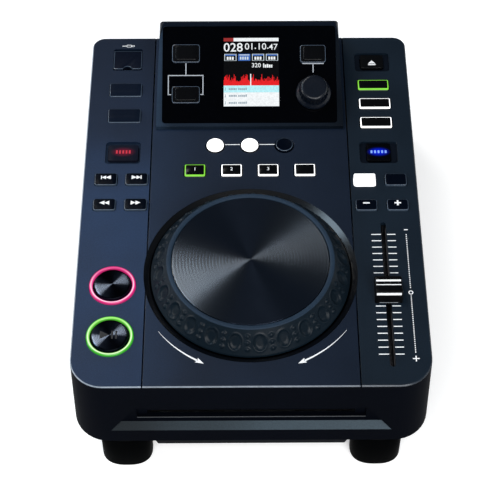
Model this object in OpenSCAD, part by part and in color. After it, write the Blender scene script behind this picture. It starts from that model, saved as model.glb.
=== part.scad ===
// Tabletop disc player for DJs with a front disc slot, millimetres.
// X to the right, Y to the back, Z up. The origin is on the table under the
// middle of the whole object, and the front face looks along -Y.

/* [Case] */
// Width of the deck from its left edge to its right edge
deck_w = 214; // [212:1:216]
// Height of the deck's surface above the table
deck_z = 90; // [90:1:92]
// Corner radius of the deck at the front
corner_front = 20; // [18:1:22]
// Corner radius of the deck at the rear
corner_rear = 8.5; // [7:0.5:9]
// How far each wall leans out from the deck down to its lower edge
wall_draft = 1.6; // [1.2:0.1:1.8]
// Thickness of the case walls at the top
wall = 2.5; // [2.2:0.1:2.6]
// Width of the two long seams between the deck panels
seam = 0.8; // [0.6:0.1:1]

/* [Disc slot] */
// Height of the slot opening for a disc
slot_h = 5; // [4.6:0.1:5.4]
// Width of the slot opening for a disc
slot_w = 125; // [124:0.5:128]

/* [Display pod] */
// Slope of the display face
pod_tilt = 22; // [21:0.5:23]
// Width of the dark window in the pod
window_w = 115; // [112:1:116]

/* [Jog wheel] */
// Radius of the spun metal disc
jog_disc_r = 47.8; // [47:0.1:47.9]
// Height of the wheel's top above the deck
jog_rise = 13.4; // [13:0.1:14]
// Outer radius of the wheel's sloping rim at its foot
jog_rim_r = 61.2; // [60:0.1:62]
// Radius of the well in the deck
well_r = 65.7; // [65:0.1:66]

/* [Controls] */
// How far a rectangular key stands above the deck
key_rise = 1.4; // [1:0.1:1.6]
// Gap round each key
key_gap = 0.35; // [0.3:0.05:0.4]
// Length of the pitch fader's slot
fader_len = 107.3; // [107:0.1:108]

/* [Feet] */
// Width of each foot
foot_w = 31.5; // [30:0.5:32]
// Depth of each foot
foot_d = 25; // [22:0.5:25]

/* [Hidden] */

$fn = 48;
dz = deck_z;                 // deck surface
front_y = -144.5;            // deck's front edge
rear_y = 138;                // deck's rear edge
low_z = dz - 59;             // lower edge of the case walls
pan_z = 20;                  // underside of the bottom pan
jog_y = -62;                 // middle of the jog wheel
seam_x = 64;                 // seams at +-seam_x
disc_z = dz - 35.5;          // middle of the disc's path
pod_y = 56.85;               // lower edge of the window on the deck
pod_lift = 3;                // its height above the deck
roller_y = -131;             // feed roller's axis
roller_z = disc_z - 6.3;
spindle_y = -66;             // turntable's axis
rail_z = dz - 44;            // sled rails and lead screw
sled_y = -38;                // middle of the sled at rest
fader_x = 83.4;
fader_mid = -77.45;
fader_y = fader_mid;         // cap at rest
usb_x = -82.5;
usb_y = 117.4;
usb_pin_y = usb_y + 7.7;     // hinge of the port cover
usb_pin_z = dz - 0.9;
enc_u = 42.3;                // knob's place on the pod face
enc_v = 20.5;
plate_y = 133;               // rear metal plate, inner face
inlet_z = dz - 30;
rocker_x = 42;
rocker_y = 137.2;

// Key places on the deck: x, y, width, depth, rise above the deck, corner radius
SOURCE = [-82.7, 88.9, 21.4, 11, key_rise, 1.6];
PLAYLIST = [-82.7, 65.9, 21.4, 11.2, key_rise, 1.6];
USB_STOP = [-82.2, 34.2, 19.5, 13.1, 0.2, 2];
TRACK_B = [-92.3, 11.5, 14.4, 9.5, key_rise, 1.6];
TRACK_F = [-72.6, 11.5, 14.4, 9.5, key_rise, 1.6];
SEARCH_B = [-92.3, -9.2, 14.2, 9, key_rise, 1.6];
SEARCH_F = [-72.5, -9.2, 14.2, 9, key_rise, 1.6];
HOT = [[-35.4, 19], [-11.8, 19], [11.8, 19], [35.4, 19]];
EJECT = [83.3, 114.4, 15.5, 11.9, 0.4, 2];
RANGE = [83.2, 92.9, 21.2, 9.2, key_rise, 1.6];
KEY_LOCK = [83.4, 76.2, 21.4, 9.4, key_rise, 1.6];
JOG_MODE = [83.4, 59.4, 21.4, 9.6, key_rise, 1.6];
TOUCH = [83.7, 34, 15.5, 14.6, 0.2, 2];
SYNC = [73.5, 10.2, 13.8, 9.4, key_rise, 1.6];
RESET = [93.4, 10.2, 13.8, 9.4, key_rise, 1.6];
MINUS = [73.6, -10.5, 13.6, 8.5, key_rise, 1.6];
PLUS = [93.4, -10.5, 13.6, 8.5, key_rise, 1.6];
LOOPS = [[-22.5, 40], [0, 40], [22.5, 40]];
CUE = [-84.3, -71.7];
PLAY = [-84.2, -109];
// Shallow pockets round the sunk keys: x, y, width, depth
POCKETS = [[-82.4, 34.3, 22.8, 18.7], [83.4, 114.1, 23.4, 17], [83.7, 33.8, 24.6, 18.2]];
LEFT_KEYS = [SOURCE, PLAYLIST, USB_STOP, TRACK_B, TRACK_F, SEARCH_B, SEARCH_F];
RIGHT_KEYS = [EJECT, RANGE, KEY_LOCK, JOG_MODE, TOUCH, SYNC, RESET, MINUS, PLUS];
HOT_W = 13.9;
HOT_D = 10.1;
loop_r = 6.1;
round_r = 11.15;
pod_keys = [[-42, 49, 18.4, 12.7], [-42, 19.9, 18.4, 11.7], [42.3, 48.4, 17, 12.4]];
post_at = [[-97.6, -131], [97.6, -131], [-98, 127], [98, 127]];
foot_at = [[-77.6, -133.5], [77.6, -133.5], [-77.6, 122], [77.6, 122]];

function arc(cx, cy, r, a0, n = 6) =
    [for (i = [0:n]) [cx + r * cos(a0 + 90 * i / n), cy + r * sin(a0 + 90 * i / n)]];
function round_box(x0, y0, x1, y1, rf, rb, n = 6) = concat(
    arc(x1 - rf, y0 + rf, rf, -90, n), arc(x1 - rb, y1 - rb, rb, 0, n),
    arc(x0 + rb, y1 - rb, rb, 90, n), arc(x0 + rf, y0 + rf, rf, 180, n));

// Plan of the case, grown by g
module case_plan(g = 0) polygon(round_box(-deck_w / 2 - g, front_y - g,
    deck_w / 2 + g, rear_y + g, corner_front + g, corner_rear + g, 10));

module slab(w, d, r, z0, z1, n = 4) translate([0, 0, z0])
    linear_extrude(height = z1 - z0) polygon(round_box(-w / 2, -d / 2, w / 2, d / 2, r, r, n));

// Frame of the display face: origin at the middle of the window's lower edge
module on_pod(u = 0, v = 0, h = 0) translate([0, pod_y, dz + pod_lift])
    rotate([pod_tilt, 0, 0]) translate([u, v, h]) children();

// ---------------------------------------------------------------- case

module upper_case() color([0.05, 0.055, 0.07]) difference() {
    union() {
        difference() {
            hull() {
                translate([0, 0, low_z]) linear_extrude(height = 0.5) case_plan(wall_draft);
                translate([0, 0, dz - 1.5]) linear_extrude(height = 0.5) case_plan(0);
            }
            translate([0, 0, low_z - 1]) linear_extrude(height = dz) case_plan(-wall);
        }
        // ledge under the deck panels
        translate([0, 0, dz - 5.5]) linear_extrude(height = 2.5) difference() {
            case_plan(-wall + 0.4);
            case_plan(-wall - 2.2);
        }
        // thick pad behind the finger pocket
        translate([-90, -142.6, low_z + 4]) cube([180, 4.1, 37]);
        // screw posts
        for (p = post_at) {
            translate([p[0], p[1], low_z + 2]) cylinder(r = 4, h = dz - 5.5 - low_z);
            translate([p[0] > 0 ? p[0] : -104, p[1] - 1, low_z + 3]) cube([104 - abs(p[0]), 2, dz - 6 - low_z]);
        }
    }
    // finger pocket: a trapezoid that narrows upwards, with a sloping floor
    pocket();
    // slot for the disc
    translate([-slot_w / 2, -146, disc_z - slot_h / 2]) cube([slot_w, 10, slot_h]);
    // shallow recess round and above the slot
    translate([-69, -142, dz - 38]) cube([138, 2, 9]);
    // window for the metal plate at the rear
    translate([-90, 132, dz - 48]) cube([180, 10, 38]);
    for (p = post_at) translate([p[0], p[1], low_z]) cylinder(r = 1.5, h = 22);
}

module pocket() difference() {
    translate([0, -141.6, dz]) rotate([90, 0, 0]) linear_extrude(height = 8)
        polygon([[-85, -47.4], [85, -47.4], [69.2, -23], [-69.2, -23]]);
    // the floor rises at 45 degrees from the front edge to the back wall
    translate([-100, -146.5, dz - 48.2]) rotate([45, 0, 0]) translate([0, 0, -12])
        cube([200, 12, 12]);
}

module deck_blank(x0, x1) intersection() {
    union() {
        translate([0, 0, dz - 3]) linear_extrude(height = 2) case_plan(-wall - 0.15);
        hull() {
            translate([0, 0, dz - 1]) linear_extrude(height = 0.3) case_plan(0);
            translate([0, 0, dz - 0.05]) linear_extrude(height = 0.05) case_plan(-0.7);
        }
    }
    translate([x0, -160, dz - 5]) cube([x1 - x0, 320, 10]);
}

module well_cut() translate([0, jog_y, dz - 6]) cylinder(r = well_r, h = 12, $fn = 96);

// room under the side panels for the centre panel's collar
module collar_cut() translate([0, jog_y, dz - 6]) cylinder(r = well_r + 3.6, h = 5, $fn = 96);

module key_hole(k) translate([k[0], k[1], 0])
    slab(k[2] + 2 * key_gap, k[3] + 2 * key_gap, k[5] + key_gap, dz - 8, dz + 4);

module pocket_cut(p) translate([p[0], p[1], 0]) slab(p[2], p[3], 2.4, dz - 1.6, dz + 4);

module deck_left() color([0.16, 0.2, 0.27]) difference() {
    union() {
        difference() {
            deck_blank(-120, -seam_x - seam / 2);
            collar_cut();
        }
        translate([usb_x, usb_y - 1, 0]) slab(18.4, 15.4, 1.5, dz - 7.5, dz - 2.5);
    }
    well_cut();
    for (k = LEFT_KEYS) key_hole(k);
    pocket_cut(POCKETS[0]);
    for (c = [CUE, PLAY]) translate([c[0], c[1], dz - 8]) cylinder(r = 14.5, h = 16);
    // port cover's pocket, port hole and hinge pin holes
    translate([usb_x, usb_y, 0]) slab(19.7, 0.01 + 19.9, 1.4, dz - 2.3, dz + 4);
    translate([usb_x, usb_y - 1, 0]) slab(15.6, 12.6, 1, dz - 9, dz + 4);
    translate([usb_x, usb_pin_y, usb_pin_z]) rotate([0, 90, 0])
        cylinder(r = 0.55, h = 22.4, center = true);
}

module deck_right() color([0.13, 0.16, 0.22]) difference() {
    deck_blank(seam_x + seam / 2, 120);
    collar_cut();
    well_cut();
    for (k = RIGHT_KEYS) key_hole(k);
    pocket_cut(POCKETS[1]);
    pocket_cut(POCKETS[2]);
    translate([fader_x, fader_mid, 0]) slab(3.4, fader_len, 1.65, dz - 8, dz + 4);
}

module deck_center() color([0.15, 0.19, 0.25]) difference() {
    union() {
        deck_blank(-seam_x + seam / 2, seam_x - seam / 2);
        // collar that joins the parts in front of the wheel and behind it
        translate([0, jog_y, dz - 3]) cylinder(r = well_r + 3.3, h = 2, $fn = 96);
    }
    well_cut();
    for (h = HOT) key_hole([h[0], h[1], HOT_W, HOT_D, key_rise, 1.6]);
    for (l = LOOPS) translate([l[0], l[1], dz - 8]) cylinder(r = loop_r + key_gap, h = 16);
    // place for the pod, open to the rear
    translate([0, 0, dz - 8]) linear_extrude(height = 16)
        polygon([[-61.7, 54.3], [61.7, 54.3], [60.6, 150], [-60.6, 150]]);
}

module bottom_chassis() color([0.2, 0.21, 0.23]) difference() {
    union() {
        translate([0, 0, low_z]) linear_extrude(height = 2) case_plan(-wall - 0.15);
        // pan between the feet, with sloping sides, and its wider middle
        translate([0, 134, 0]) rotate([90, 0, 0]) linear_extrude(height = 275.8)
            polygon([[-57.6, pan_z], [57.6, pan_z], [59.2, pan_z + 4], [59.2, low_z + 2],
                [-59.2, low_z + 2], [-59.2, pan_z + 4]]);
        translate([-99, -112, pan_z]) cube([198, 214, low_z + 2 - pan_z]);
        // rear metal plate
        translate([-97, plate_y, low_z]) cube([194, 1.4, 53]);
        for (x = [-50, 50], y = [-118, 12]) translate([x, y, pan_z + 1]) cylinder(r = 4, h = dz - 54 - pan_z - 1);
    }
    difference() {
        union() {
            translate([-56.6, -140.4, pan_z + 1.4]) cube([113.2, 273, 11]);
            translate([-97.6, -110.6, pan_z + 1.4]) cube([195.2, 211.2, 11]);
            translate([-56.6, -140.4, pan_z + 9]) cube([113.2, 273, 12]);
            translate([-97.6, -110.6, pan_z + 9]) cube([195.2, 211.2, 12]);
        }
        // posts that carry the disc drive
        for (x = [-50, 50], y = [-118, 12]) translate([x, y, pan_z]) cylinder(r = 4, h = dz - 54 - pan_z);
    }
    for (p = post_at) translate([p[0], p[1], low_z - 1]) cylinder(r = 1.7, h = 4);
    // cooling slots in the pan
    for (i = [-4:4]) translate([i * 9 - 1.2, 40, pan_z - 1]) cube([2.4, 40, 4]);
    // holes of the rear plate
    for (x = [-66, -48, -30]) jack_hole(x, 5.2);
    jack_hole(-12, 3.4);
    translate([6, plate_y - 2, inlet_z - 6]) cube([12.4, 6, 12]);
    translate([30.4, plate_y - 2, inlet_z - 11.6]) cube([47.2, 6, 23.2]);
}

module jack_hole(x, r) translate([x, plate_y - 2, inlet_z]) rotate([-90, 0, 0]) cylinder(r = r, h = 6);

module feet() color([0.03, 0.03, 0.035]) for (p = foot_at) translate([p[0], p[1], 0]) {
    slab(foot_w - 1.6, foot_d - 1.6, 10.6, 0, 1, 8);
    slab(foot_w, foot_d, 11.4, 1, low_z, 8);
}

module chassis_screws() color("silver") for (p = post_at) translate([p[0], p[1], 0]) difference() {
    union() {
        translate([0, 0, low_z - 1.7]) cylinder(r = 3.1, h = 1.7);
        translate([0, 0, low_z - 0.2]) cylinder(r = 1.5, h = 18);
    }
    for (a = [0, 90]) rotate([0, 0, a]) translate([-1.8, -0.4, low_z - 2]) cube([3.6, 0.8, 1.1]);
}

// ---------------------------------------------------------------- display pod

pod_top = pod_lift + 71.2 * sin(pod_tilt) + 0.4;
module pod_side(g) polygon([
    [54.5 + g, dz - 3 - g], [54.5 + g, dz + 2.6 - g],
    [pod_y + 71.2 * cos(pod_tilt) - g * 0.4, dz + pod_top - g * 1.1],
    [124.4 - g * 1.15, dz + pod_top - 0.7 - g * 1.1], [129.2 - g * 1.15, dz + 20.6 - g * 0.3],
    [137.6 - g * 1.15, dz + 7 - g * 0.3], [137.6 - g * 1.15, dz - 3 - g]]);

// Front view of the pod, with its two rounded upper corners
module pod_outline(g = 0) rotate([90, 0, 0]) translate([0, 0, -150]) linear_extrude(height = 110)
    polygon(concat([[65, dz - 6], [65, dz + pod_top - 27], [61.8 - g, dz + pod_top - 27]],
        [for (a = [0:10:90]) [55.9 + (4 - g) * cos(a), dz + pod_top - 6.4 + (6.4 - g) * sin(a)]],
        [for (a = [90:10:180]) [-55.9 + (4 - g) * cos(a), dz + pod_top - 6.4 + (6.4 - g) * sin(a)]],
        [[-61.8 + g, dz + pod_top - 27], [-65, dz + pod_top - 27], [-65, dz - 6]]));

module pod_block(g, wf, wr, z0) intersection() {
    translate([-70, 0, 0]) rotate([90, 0, 90]) linear_extrude(height = 140) pod_side(g);
    translate([0, 0, z0]) linear_extrude(height = 60)
        polygon([[-wf, 54], [wf, 54], [wr, 140], [-wr, 140]]);
}

module pod_housing() color([0.16, 0.19, 0.26]) difference() {
    intersection() {
        pod_block(0, 61.5, 59.7, dz - 3);
        pod_outline();
    }
    // hollow below, with a thicker wall under the display face
    difference() {
        intersection() {
            pod_block(2, 59.4, 57.6, dz - 10);
            pod_outline(1.8);
        }
        on_pod(-70, -20, -3.4) cube([140, 110, 12]);
    }
    // step that clears the case's rear wall
    translate([-70, 134.2, dz - 5]) cube([140, 6, 4.15]);
    // recess for the window, and the opening behind it
    on_pod(0, 34.2, 0) slab(window_w + 0.3, 68.7, 2.2, -1.6, 6);
    on_pod(0, 34.2, 0) slab(window_w - 7, 62, 2, -8, 6);
}

module pod_window() color([0.02, 0.02, 0.025]) difference() {
    on_pod(0, 34.2, 0) slab(window_w, 68.4, 2, -1.6, 0);
    for (k = pod_keys) on_pod(k[0], k[1]) slab(k[2] + 2 * key_gap, k[3] + 2 * key_gap, 2, -4, 2);
    on_pod(enc_u, enc_v, -4) cylinder(r = 4.2, h = 8);
}

module lcd_module() color([0.1, 0.12, 0.16]) on_pod(1.3, 35.9) {
    slab(38.6, 50.4, 0.6, -2.6, -1.7);
    slab(42, 54, 1, -6.4, -2.6);
}

module pod_key(k) color([0.08, 0.085, 0.1]) on_pod(k[0], k[1]) {
    slab(k[2], k[3], 1.8, -3.4, 1.2);
    slab(k[2] + 2, k[3] + 2, 1.8, -4.4, -3.4);
    translate([0, 0, -6.8]) cylinder(r = 2, h = 2.6);
}

module browse_button() pod_key(pod_keys[0]);
module lock_button() pod_key(pod_keys[1]);
module back_button() pod_key(pod_keys[2]);

module encoder_shaft() color("silver") on_pod(enc_u, enc_v, -9) cylinder(r = 3, h = 17.6);

module encoder_knob() color([0.06, 0.06, 0.07]) on_pod(enc_u, enc_v) difference() {
    rotate_extrude() polygon([[0, 0.9], [11.6, 0.9], [11.7, 1.6], [10.6, 3.2], [9.3, 4],
        [8.9, 10.6], [8, 12], [0, 12]]);
    translate([0, 0, -1]) cylinder(r = 3.05, h = 10.6);
    for (i = [0:23]) rotate([0, 0, i * 15]) translate([9.5, 0, 4.4]) cylinder(r = 0.5, h = 9);
}

// ---------------------------------------------------------------- jog wheel

jz = dz + jog_rise;
module jog_bearing() color([0.04, 0.04, 0.05]) translate([0, jog_y, dz]) rotate_extrude($fn = 96)
    polygon([[5.05, -24], [11, -24], [11, -11.5], [well_r + 2, -11.5], [well_r + 2, -5],
        [well_r + 2.3, -5], [well_r + 2.3, -3], [well_r, -3], [well_r, -9.5], [11, -9.5],
        [11, 3], [5.05, 3]]);

module jog_hub() color("silver") translate([0, jog_y, jz]) {
    translate([0, 0, -6.4]) cylinder(r = 50.4, h = 2.4, $fn = 96);
    translate([0, 0, -35.4]) cylinder(r = 5, h = 29.2);
}

module jog_top_disc() color([0.45, 0.47, 0.52]) translate([0, jog_y, jz]) rotate_extrude($fn = 96)
    polygon([[0, -4], [jog_disc_r, -4], [jog_disc_r, -0.3], [jog_disc_r - 0.4, 0], [12, 0],
        [11, -0.4], [0, -0.4]]);

module jog_ring() color([0.3, 0.36, 0.48]) translate([0, jog_y, jz]) rotate_extrude($fn = 96)
    polygon([[jog_disc_r + 0.4, -4], [51.3, -4], [51.3, -0.5], [51, -0.1], [jog_disc_r + 0.7, 0],
        [jog_disc_r + 0.4, -0.3]]);

module jog_rim() color([0.05, 0.055, 0.07]) translate([0, jog_y, jz]) difference() {
    rotate_extrude($fn = 96) polygon([[51.3, -0.6], [jog_rim_r, -13.8], [jog_rim_r, -15.2],
        [jog_rim_r - 2, -15.2], [52.5, -6.4], [50.5, -6.4], [50.5, -4], [51.3, -4]]);
    // finger dimples
    for (i = [0:23]) rotate([0, 0, i * 15 + 7.5]) translate([57.4, 0, -4.6])
        sphere(r = 4.2, $fn = 24);
}

// ---------------------------------------------------------------- deck keys

module rect_key(k, c = [0.1, 0.115, 0.14]) color(c) translate([k[0], k[1], 0]) {
    slab(k[2], k[3], k[5], dz - 4, dz + k[4]);
    slab(k[2] + 2.4, k[3] + 2.4, k[5], dz - 5.2, dz - 4);
    translate([0, 0, dz - 6.6]) cylinder(r = 2, h = 1.6);
}

module loop_key(l, c) color(c) translate([l[0], l[1], dz]) {
    translate([0, 0, -4]) cylinder(r = loop_r, h = 4 + 1.6);
    translate([0, 0, -5.2]) cylinder(r = loop_r + 1.2, h = 1.2);
    translate([0, 0, -6.6]) cylinder(r = 2, h = 1.6);
}

module big_key(c) color([0.1, 0.105, 0.12]) translate([c[0], c[1], dz]) {
    translate([0, 0, -4.8]) cylinder(r = round_r, h = 6.6);
    translate([0, 0, -6]) cylinder(r = round_r + 1.6, h = 1.2);
    translate([0, 0, -6.4]) cylinder(r = 3, h = 0.6);
}

module button_light_rings() color([0.9, 0.9, 0.9]) for (c = [CUE, PLAY]) translate([c[0], c[1], dz])
    rotate_extrude() polygon([[round_r + 0.35, -4.5], [15.6, -4.5], [15.6, -3], [14.2, -3],
        [14.2, 0.6], [13.5, 1.2], [12, 1.4], [round_r + 0.35, 1.1]]);

module source_button() rect_key(SOURCE);
module playlist_button() rect_key(PLAYLIST);
module usb_stop_button() rect_key(USB_STOP, [0.6, 0.1, 0.1]);
module track_back_button() rect_key(TRACK_B);
module track_forward_button() rect_key(TRACK_F);
module search_back_button() rect_key(SEARCH_B);
module search_forward_button() rect_key(SEARCH_F);
module cue_button() big_key(CUE);
module play_button() big_key(PLAY);
module loop_in_button() loop_key(LOOPS[0], [0.9, 0.9, 0.95]);
module loop_out_button() loop_key(LOOPS[1], [0.9, 0.9, 0.95]);
module reloop_button() loop_key(LOOPS[2], [0.12, 0.13, 0.15]);
module hot_key(i) rect_key([HOT[i][0], HOT[i][1], HOT_W, HOT_D, key_rise, 1.6]);
module hot_cue_1_button() hot_key(0);
module hot_cue_2_button() hot_key(1);
module hot_cue_3_button() hot_key(2);
module hot_cue_store_button() hot_key(3);
module eject_button() rect_key(EJECT);
module tempo_range_button() rect_key(RANGE);
module key_lock_button() rect_key(KEY_LOCK);
module jog_mode_button() rect_key(JOG_MODE);
module touch_mode_button() rect_key(TOUCH, [0.2, 0.35, 0.8]);
module beat_sync_button() rect_key(SYNC, [0.85, 0.87, 0.9]);
module tempo_reset_button() rect_key(RESET);
module beat_minus_button() rect_key(MINUS);
module beat_plus_button() rect_key(PLUS);

// ---------------------------------------------------------------- fader, port cover

module fader_body() color([0.5, 0.5, 0.52]) difference() {
    translate([fader_x, fader_mid, 0]) slab(12, 116, 0.8, dz - 16, dz - 4);
    translate([fader_x, fader_mid, 0]) slab(2.6, fader_len, 1.2, dz - 12.5, dz);
}

module fader_cap() color([0.04, 0.04, 0.045]) translate([fader_x, fader_y, dz]) {
    translate([-8.3, 0, 0.4]) rotate([90, 0, 90]) linear_extrude(height = 16.6)
        polygon([[-8.5, 0], [8.5, 0], [8.5, 1.2], [6.3, 6.8], [5.2, 8.1], [3.4, 8.1], [0, 7.3],
            [-3.4, 8.1], [-5.2, 8.1], [-6.3, 6.8], [-8.5, 1.2]]);
    translate([-0.6, -3, -11]) cube([1.2, 6, 11.6]);
}

module usb_cover() color([0.07, 0.08, 0.1]) difference() {
    union() {
        translate([usb_x - 9.5, usb_y - 8.9, dz - 1.7]) cube([19, usb_pin_y - usb_y + 8.9, 2.1]);
        translate([usb_x, usb_pin_y, usb_pin_z]) rotate([0, 90, 0]) cylinder(r = 1, h = 19, center = true);
        translate([usb_x, usb_pin_y, usb_pin_z]) rotate([0, 90, 0]) cylinder(r = 0.5, h = 22, center = true);
    }
    // finger notch at the front edge
    translate([usb_x, usb_y - 9.6, dz - 3]) cylinder(r = 3, h = 6);
}

// ---------------------------------------------------------------- boards

module tact(x, y) translate([x - 3, y - 3, dz - 12.7]) cube([6, 6, 4.7]);

module control_boards() color([0.1, 0.35, 0.2]) {
    // left board with the port socket
    difference() {
        union() {
            translate([-103, -122, dz - 14]) cube([36, 238, 1.4]);
            translate([-92, 115, dz - 14]) cube([22, 13, 1.4]);
            for (k = LEFT_KEYS) tact(k[0], k[1]);
            for (c = [CUE, PLAY]) translate([c[0] - 3, c[1] - 3, dz - 12.7]) cube([6, 6, 4.6]);
            translate([usb_x - 7.2, usb_y - 4.6, dz - 12.7]) cube([14.4, 7.2, 5.1]);
        }
        translate([usb_x - 6.3, usb_y - 3.6, dz - 12.2]) cube([12.6, 5.2, 8]);
    }
    translate([usb_x - 5.6, usb_y - 3.4, dz - 12.4]) cube([11.2, 1.9, 4]);
    // centre board
    translate([-50, 8, dz - 14]) cube([100, 44, 1.4]);
    for (h = HOT) tact(h[0], h[1]);
    for (l = LOOPS) tact(l[0], l[1]);
    // right board
    translate([67, -16, dz - 14]) cube([36, 132, 1.4]);
    for (k = RIGHT_KEYS) tact(k[0], k[1]);
    // board behind the display, with the knob's bushing
    difference() {
        union() {
            on_pod(-52, 8, -11) cube([104, 56, 1.4]);
            for (k = pod_keys) on_pod(k[0] - 3, k[1] - 3, -9.7) cube([6, 6, 1.5]);
            on_pod(enc_u - 6, enc_v - 6, -9.7) cube([12, 12, 5.2]);
        }
        on_pod(enc_u, enc_v, -14) cylinder(r = 3.05, h = 16);
    }
}

module main_board() color([0.08, 0.3, 0.16]) {
    translate([-95, 34, 40]) cube([112, 88, 1.6]);
    for (c = [[-70, 60, 22, 22, 2], [-35, 62, 16, 16, 1.6], [-10, 58, 12, 20, 1.4],
        [-80, 98, 12, 12, 1.6], [-52, 96, 8, 14, 5], [-25, 100, 18, 8, 6]])
        translate([c[0], c[1], 41.5]) cube([c[2], c[3], c[4]]);
    for (p = [[-90, 39], [12, 39], [-90, 95], [12, 95]]) translate([p[0], p[1], pan_z + 1.4])
        cylinder(r = 2.5, h = 18.7);
}

module power_supply() color([0.55, 0.45, 0.2]) {
    translate([28, 34, 40]) cube([66, 84, 1.6]);
    translate([40, 70, 41.5]) cube([28, 32, 24]);
    for (p = [[78, 48], [78, 64], [36, 46]]) translate([p[0], p[1], 41.5]) cylinder(r = 6, h = 22);
    translate([50, 40, 41.5]) cube([18, 16, 14]);
    translate([74, 80, 41.5]) cube([14, 26, 20]);
    for (p = [[32, 38], [90, 38], [32, 95], [90, 95]]) translate([p[0], p[1], pan_z + 1.4])
        cylinder(r = 2.5, h = 18.7);
}

module rear_jacks() color("silver") {
    // three phono jacks
    for (x = [-66, -48, -30]) {
        translate([x - 6.5, plate_y + 1.4, inlet_z - 6.5]) cube([13, 2, 13]);
        translate([x, plate_y - 8, inlet_z]) rotate([-90, 0, 0]) difference() {
            union() {
                cylinder(r = 5, h = 9.6);
                cylinder(r = 4.15, h = 146.1 - plate_y + 8);
            }
            translate([0, 0, 11]) cylinder(r = 1.6, h = 20);
        }
    }
    // small round socket for a control lead
    translate([-12, plate_y - 10, inlet_z]) rotate([-90, 0, 0]) difference() {
        union() {
            cylinder(r = 3.2, h = 12);
            translate([0, 0, 11.4]) cylinder(r = 4.2, h = 1.6);
        }
        translate([0, 0, 0.8]) cylinder(r = 1.8, h = 20);
    }
    // square data socket
    translate([6.2, plate_y - 12, inlet_z - 5.8]) difference() {
        cube([12, 14, 11.6]);
        translate([1.4, 2, 1.2]) cube([9.2, 14, 9]);
    }
    translate([9.6, plate_y - 11, inlet_z - 1.6]) cube([5.2, 9, 3.2]);
}

module power_inlet() color([0.05, 0.05, 0.055]) {
    difference() {
        union() {
            translate([29.4, plate_y + 1.4, inlet_z - 12.6]) cube([49.2, 2, 25.2]);
            translate([30.6, plate_y - 14, inlet_z - 11.4]) cube([46.8, 16, 22.8]);
        }
        // socket for the mains lead
        translate([57, plate_y - 12.4, inlet_z - 4.4]) cube([16, 20, 8.8]);
        // well of the switch rocker
        translate([rocker_x - 6.6, plate_y - 7, inlet_z - 9.9]) cube([13.2, 14, 19.8]);
        translate([rocker_x - 8.2, rocker_y - 4, inlet_z]) rotate([0, 90, 0]) cylinder(r = 1.05, h = 16.4);
    }
    for (s = [-1, 1]) translate([65 + s * 4.3, plate_y - 13, inlet_z]) rotate([-90, 0, 0])
        cylinder(r = 1.2, h = 10.6);
}

module power_rocker() color([0.03, 0.03, 0.035]) translate([rocker_x, rocker_y - 4, inlet_z]) rotate([-9, 0, 0]) {
    translate([-6.2, 0, 0]) rotate([90, 0, 90]) linear_extrude(height = 12.4)
        polygon([[-2, -8.2], [2.4, -9], [3.9, 0], [2.4, 9], [-2, 8.2], [-3, 0]]);
    rotate([0, 90, 0]) cylinder(r = 1, h = 16, center = true);
}

// ---------------------------------------------------------------- disc drive

module drive_frame() color([0.62, 0.63, 0.65]) difference() {
    union() {
        translate([-70.5, -137, dz - 54]) cube([141, 158, 1.4]);
        for (s = [-1, 1]) translate([s * 69.75 - 0.75, -137, dz - 54]) cube([1.5, 158, 21]);
        translate([-70.5, 19.5, dz - 54]) cube([141, 1.5, 21]);
        // spindle motor
        translate([0, spindle_y, dz - 53]) cylinder(r = 13, h = 9);
        // sled rails between two ribs
        for (x = [-22, 22]) translate([x, -51, rail_z]) rotate([-90, 0, 0]) cylinder(r = 1.5, h = 67);
        translate([-28, -52.4, dz - 53]) cube([8, 2, 11]);
        translate([18, -52.4, dz - 53]) cube([18, 2, 11]);
        translate([-28, 15, dz - 53]) cube([64, 2, 11]);
    }
    // bearings of the feed roller
    translate([-80, roller_y, roller_z]) rotate([0, 90, 0]) cylinder(r = 1.55, h = 160);
    // bearing of the turntable's shaft
    translate([0, spindle_y, dz - 51]) cylinder(r = 1.25, h = 20);
    // bearings of the lead screw
    translate([32, -60, rail_z]) rotate([-90, 0, 0]) cylinder(r = 1.25, h = 85);
    // light openings in the floor
    for (x = [-52, 40]) translate([x, -120, dz - 56]) cube([14, 60, 4]);
}

module feed_roller() color([0.12, 0.12, 0.13]) translate([0, roller_y, roller_z]) rotate([0, 90, 0]) {
    cylinder(r = 1.5, h = 144, center = true);
    for (s = [0, 1]) mirror([0, 0, s]) rotate_extrude()
        polygon([[0, 6], [3.4, 6], [4, 60], [0, 60]]);
}

module turntable() color([0.2, 0.2, 0.22]) translate([0, spindle_y, dz]) {
    translate([0, 0, -50]) cylinder(r = 1.2, h = 13);
    translate([0, 0, -39.5]) cylinder(r = 14, h = 3);
    translate([0, 0, -36.6]) cylinder(r1 = 7.4, r2 = 6.6, h = 2.2);
}

module pickup_sled() color([0.3, 0.3, 0.33]) difference() {
    union() {
        translate([-26, sled_y - 11, rail_z - 4]) cube([52, 22, 7]);
        translate([24, sled_y - 4, rail_z - 3.5]) cube([12, 8, 6.4]);
        translate([0, sled_y, rail_z + 2.5]) cylinder(r = 4, h = 2.2);
    }
    for (x = [-22, 22]) translate([x, sled_y - 20, rail_z]) rotate([-90, 0, 0]) cylinder(r = 1.55, h = 40);
    translate([32, sled_y - 20, rail_z]) rotate([-90, 0, 0]) cylinder(r = 1.85, h = 40);
}

module lead_screw() color("silver") translate([32, -51.8, rail_z]) rotate([-90, 0, 0]) {
    translate([0, 0, -1]) cylinder(r = 1.2, h = 70.4);
    translate([0, 0, 2]) cylinder(r = 1.75, h = 64);
}

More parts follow.
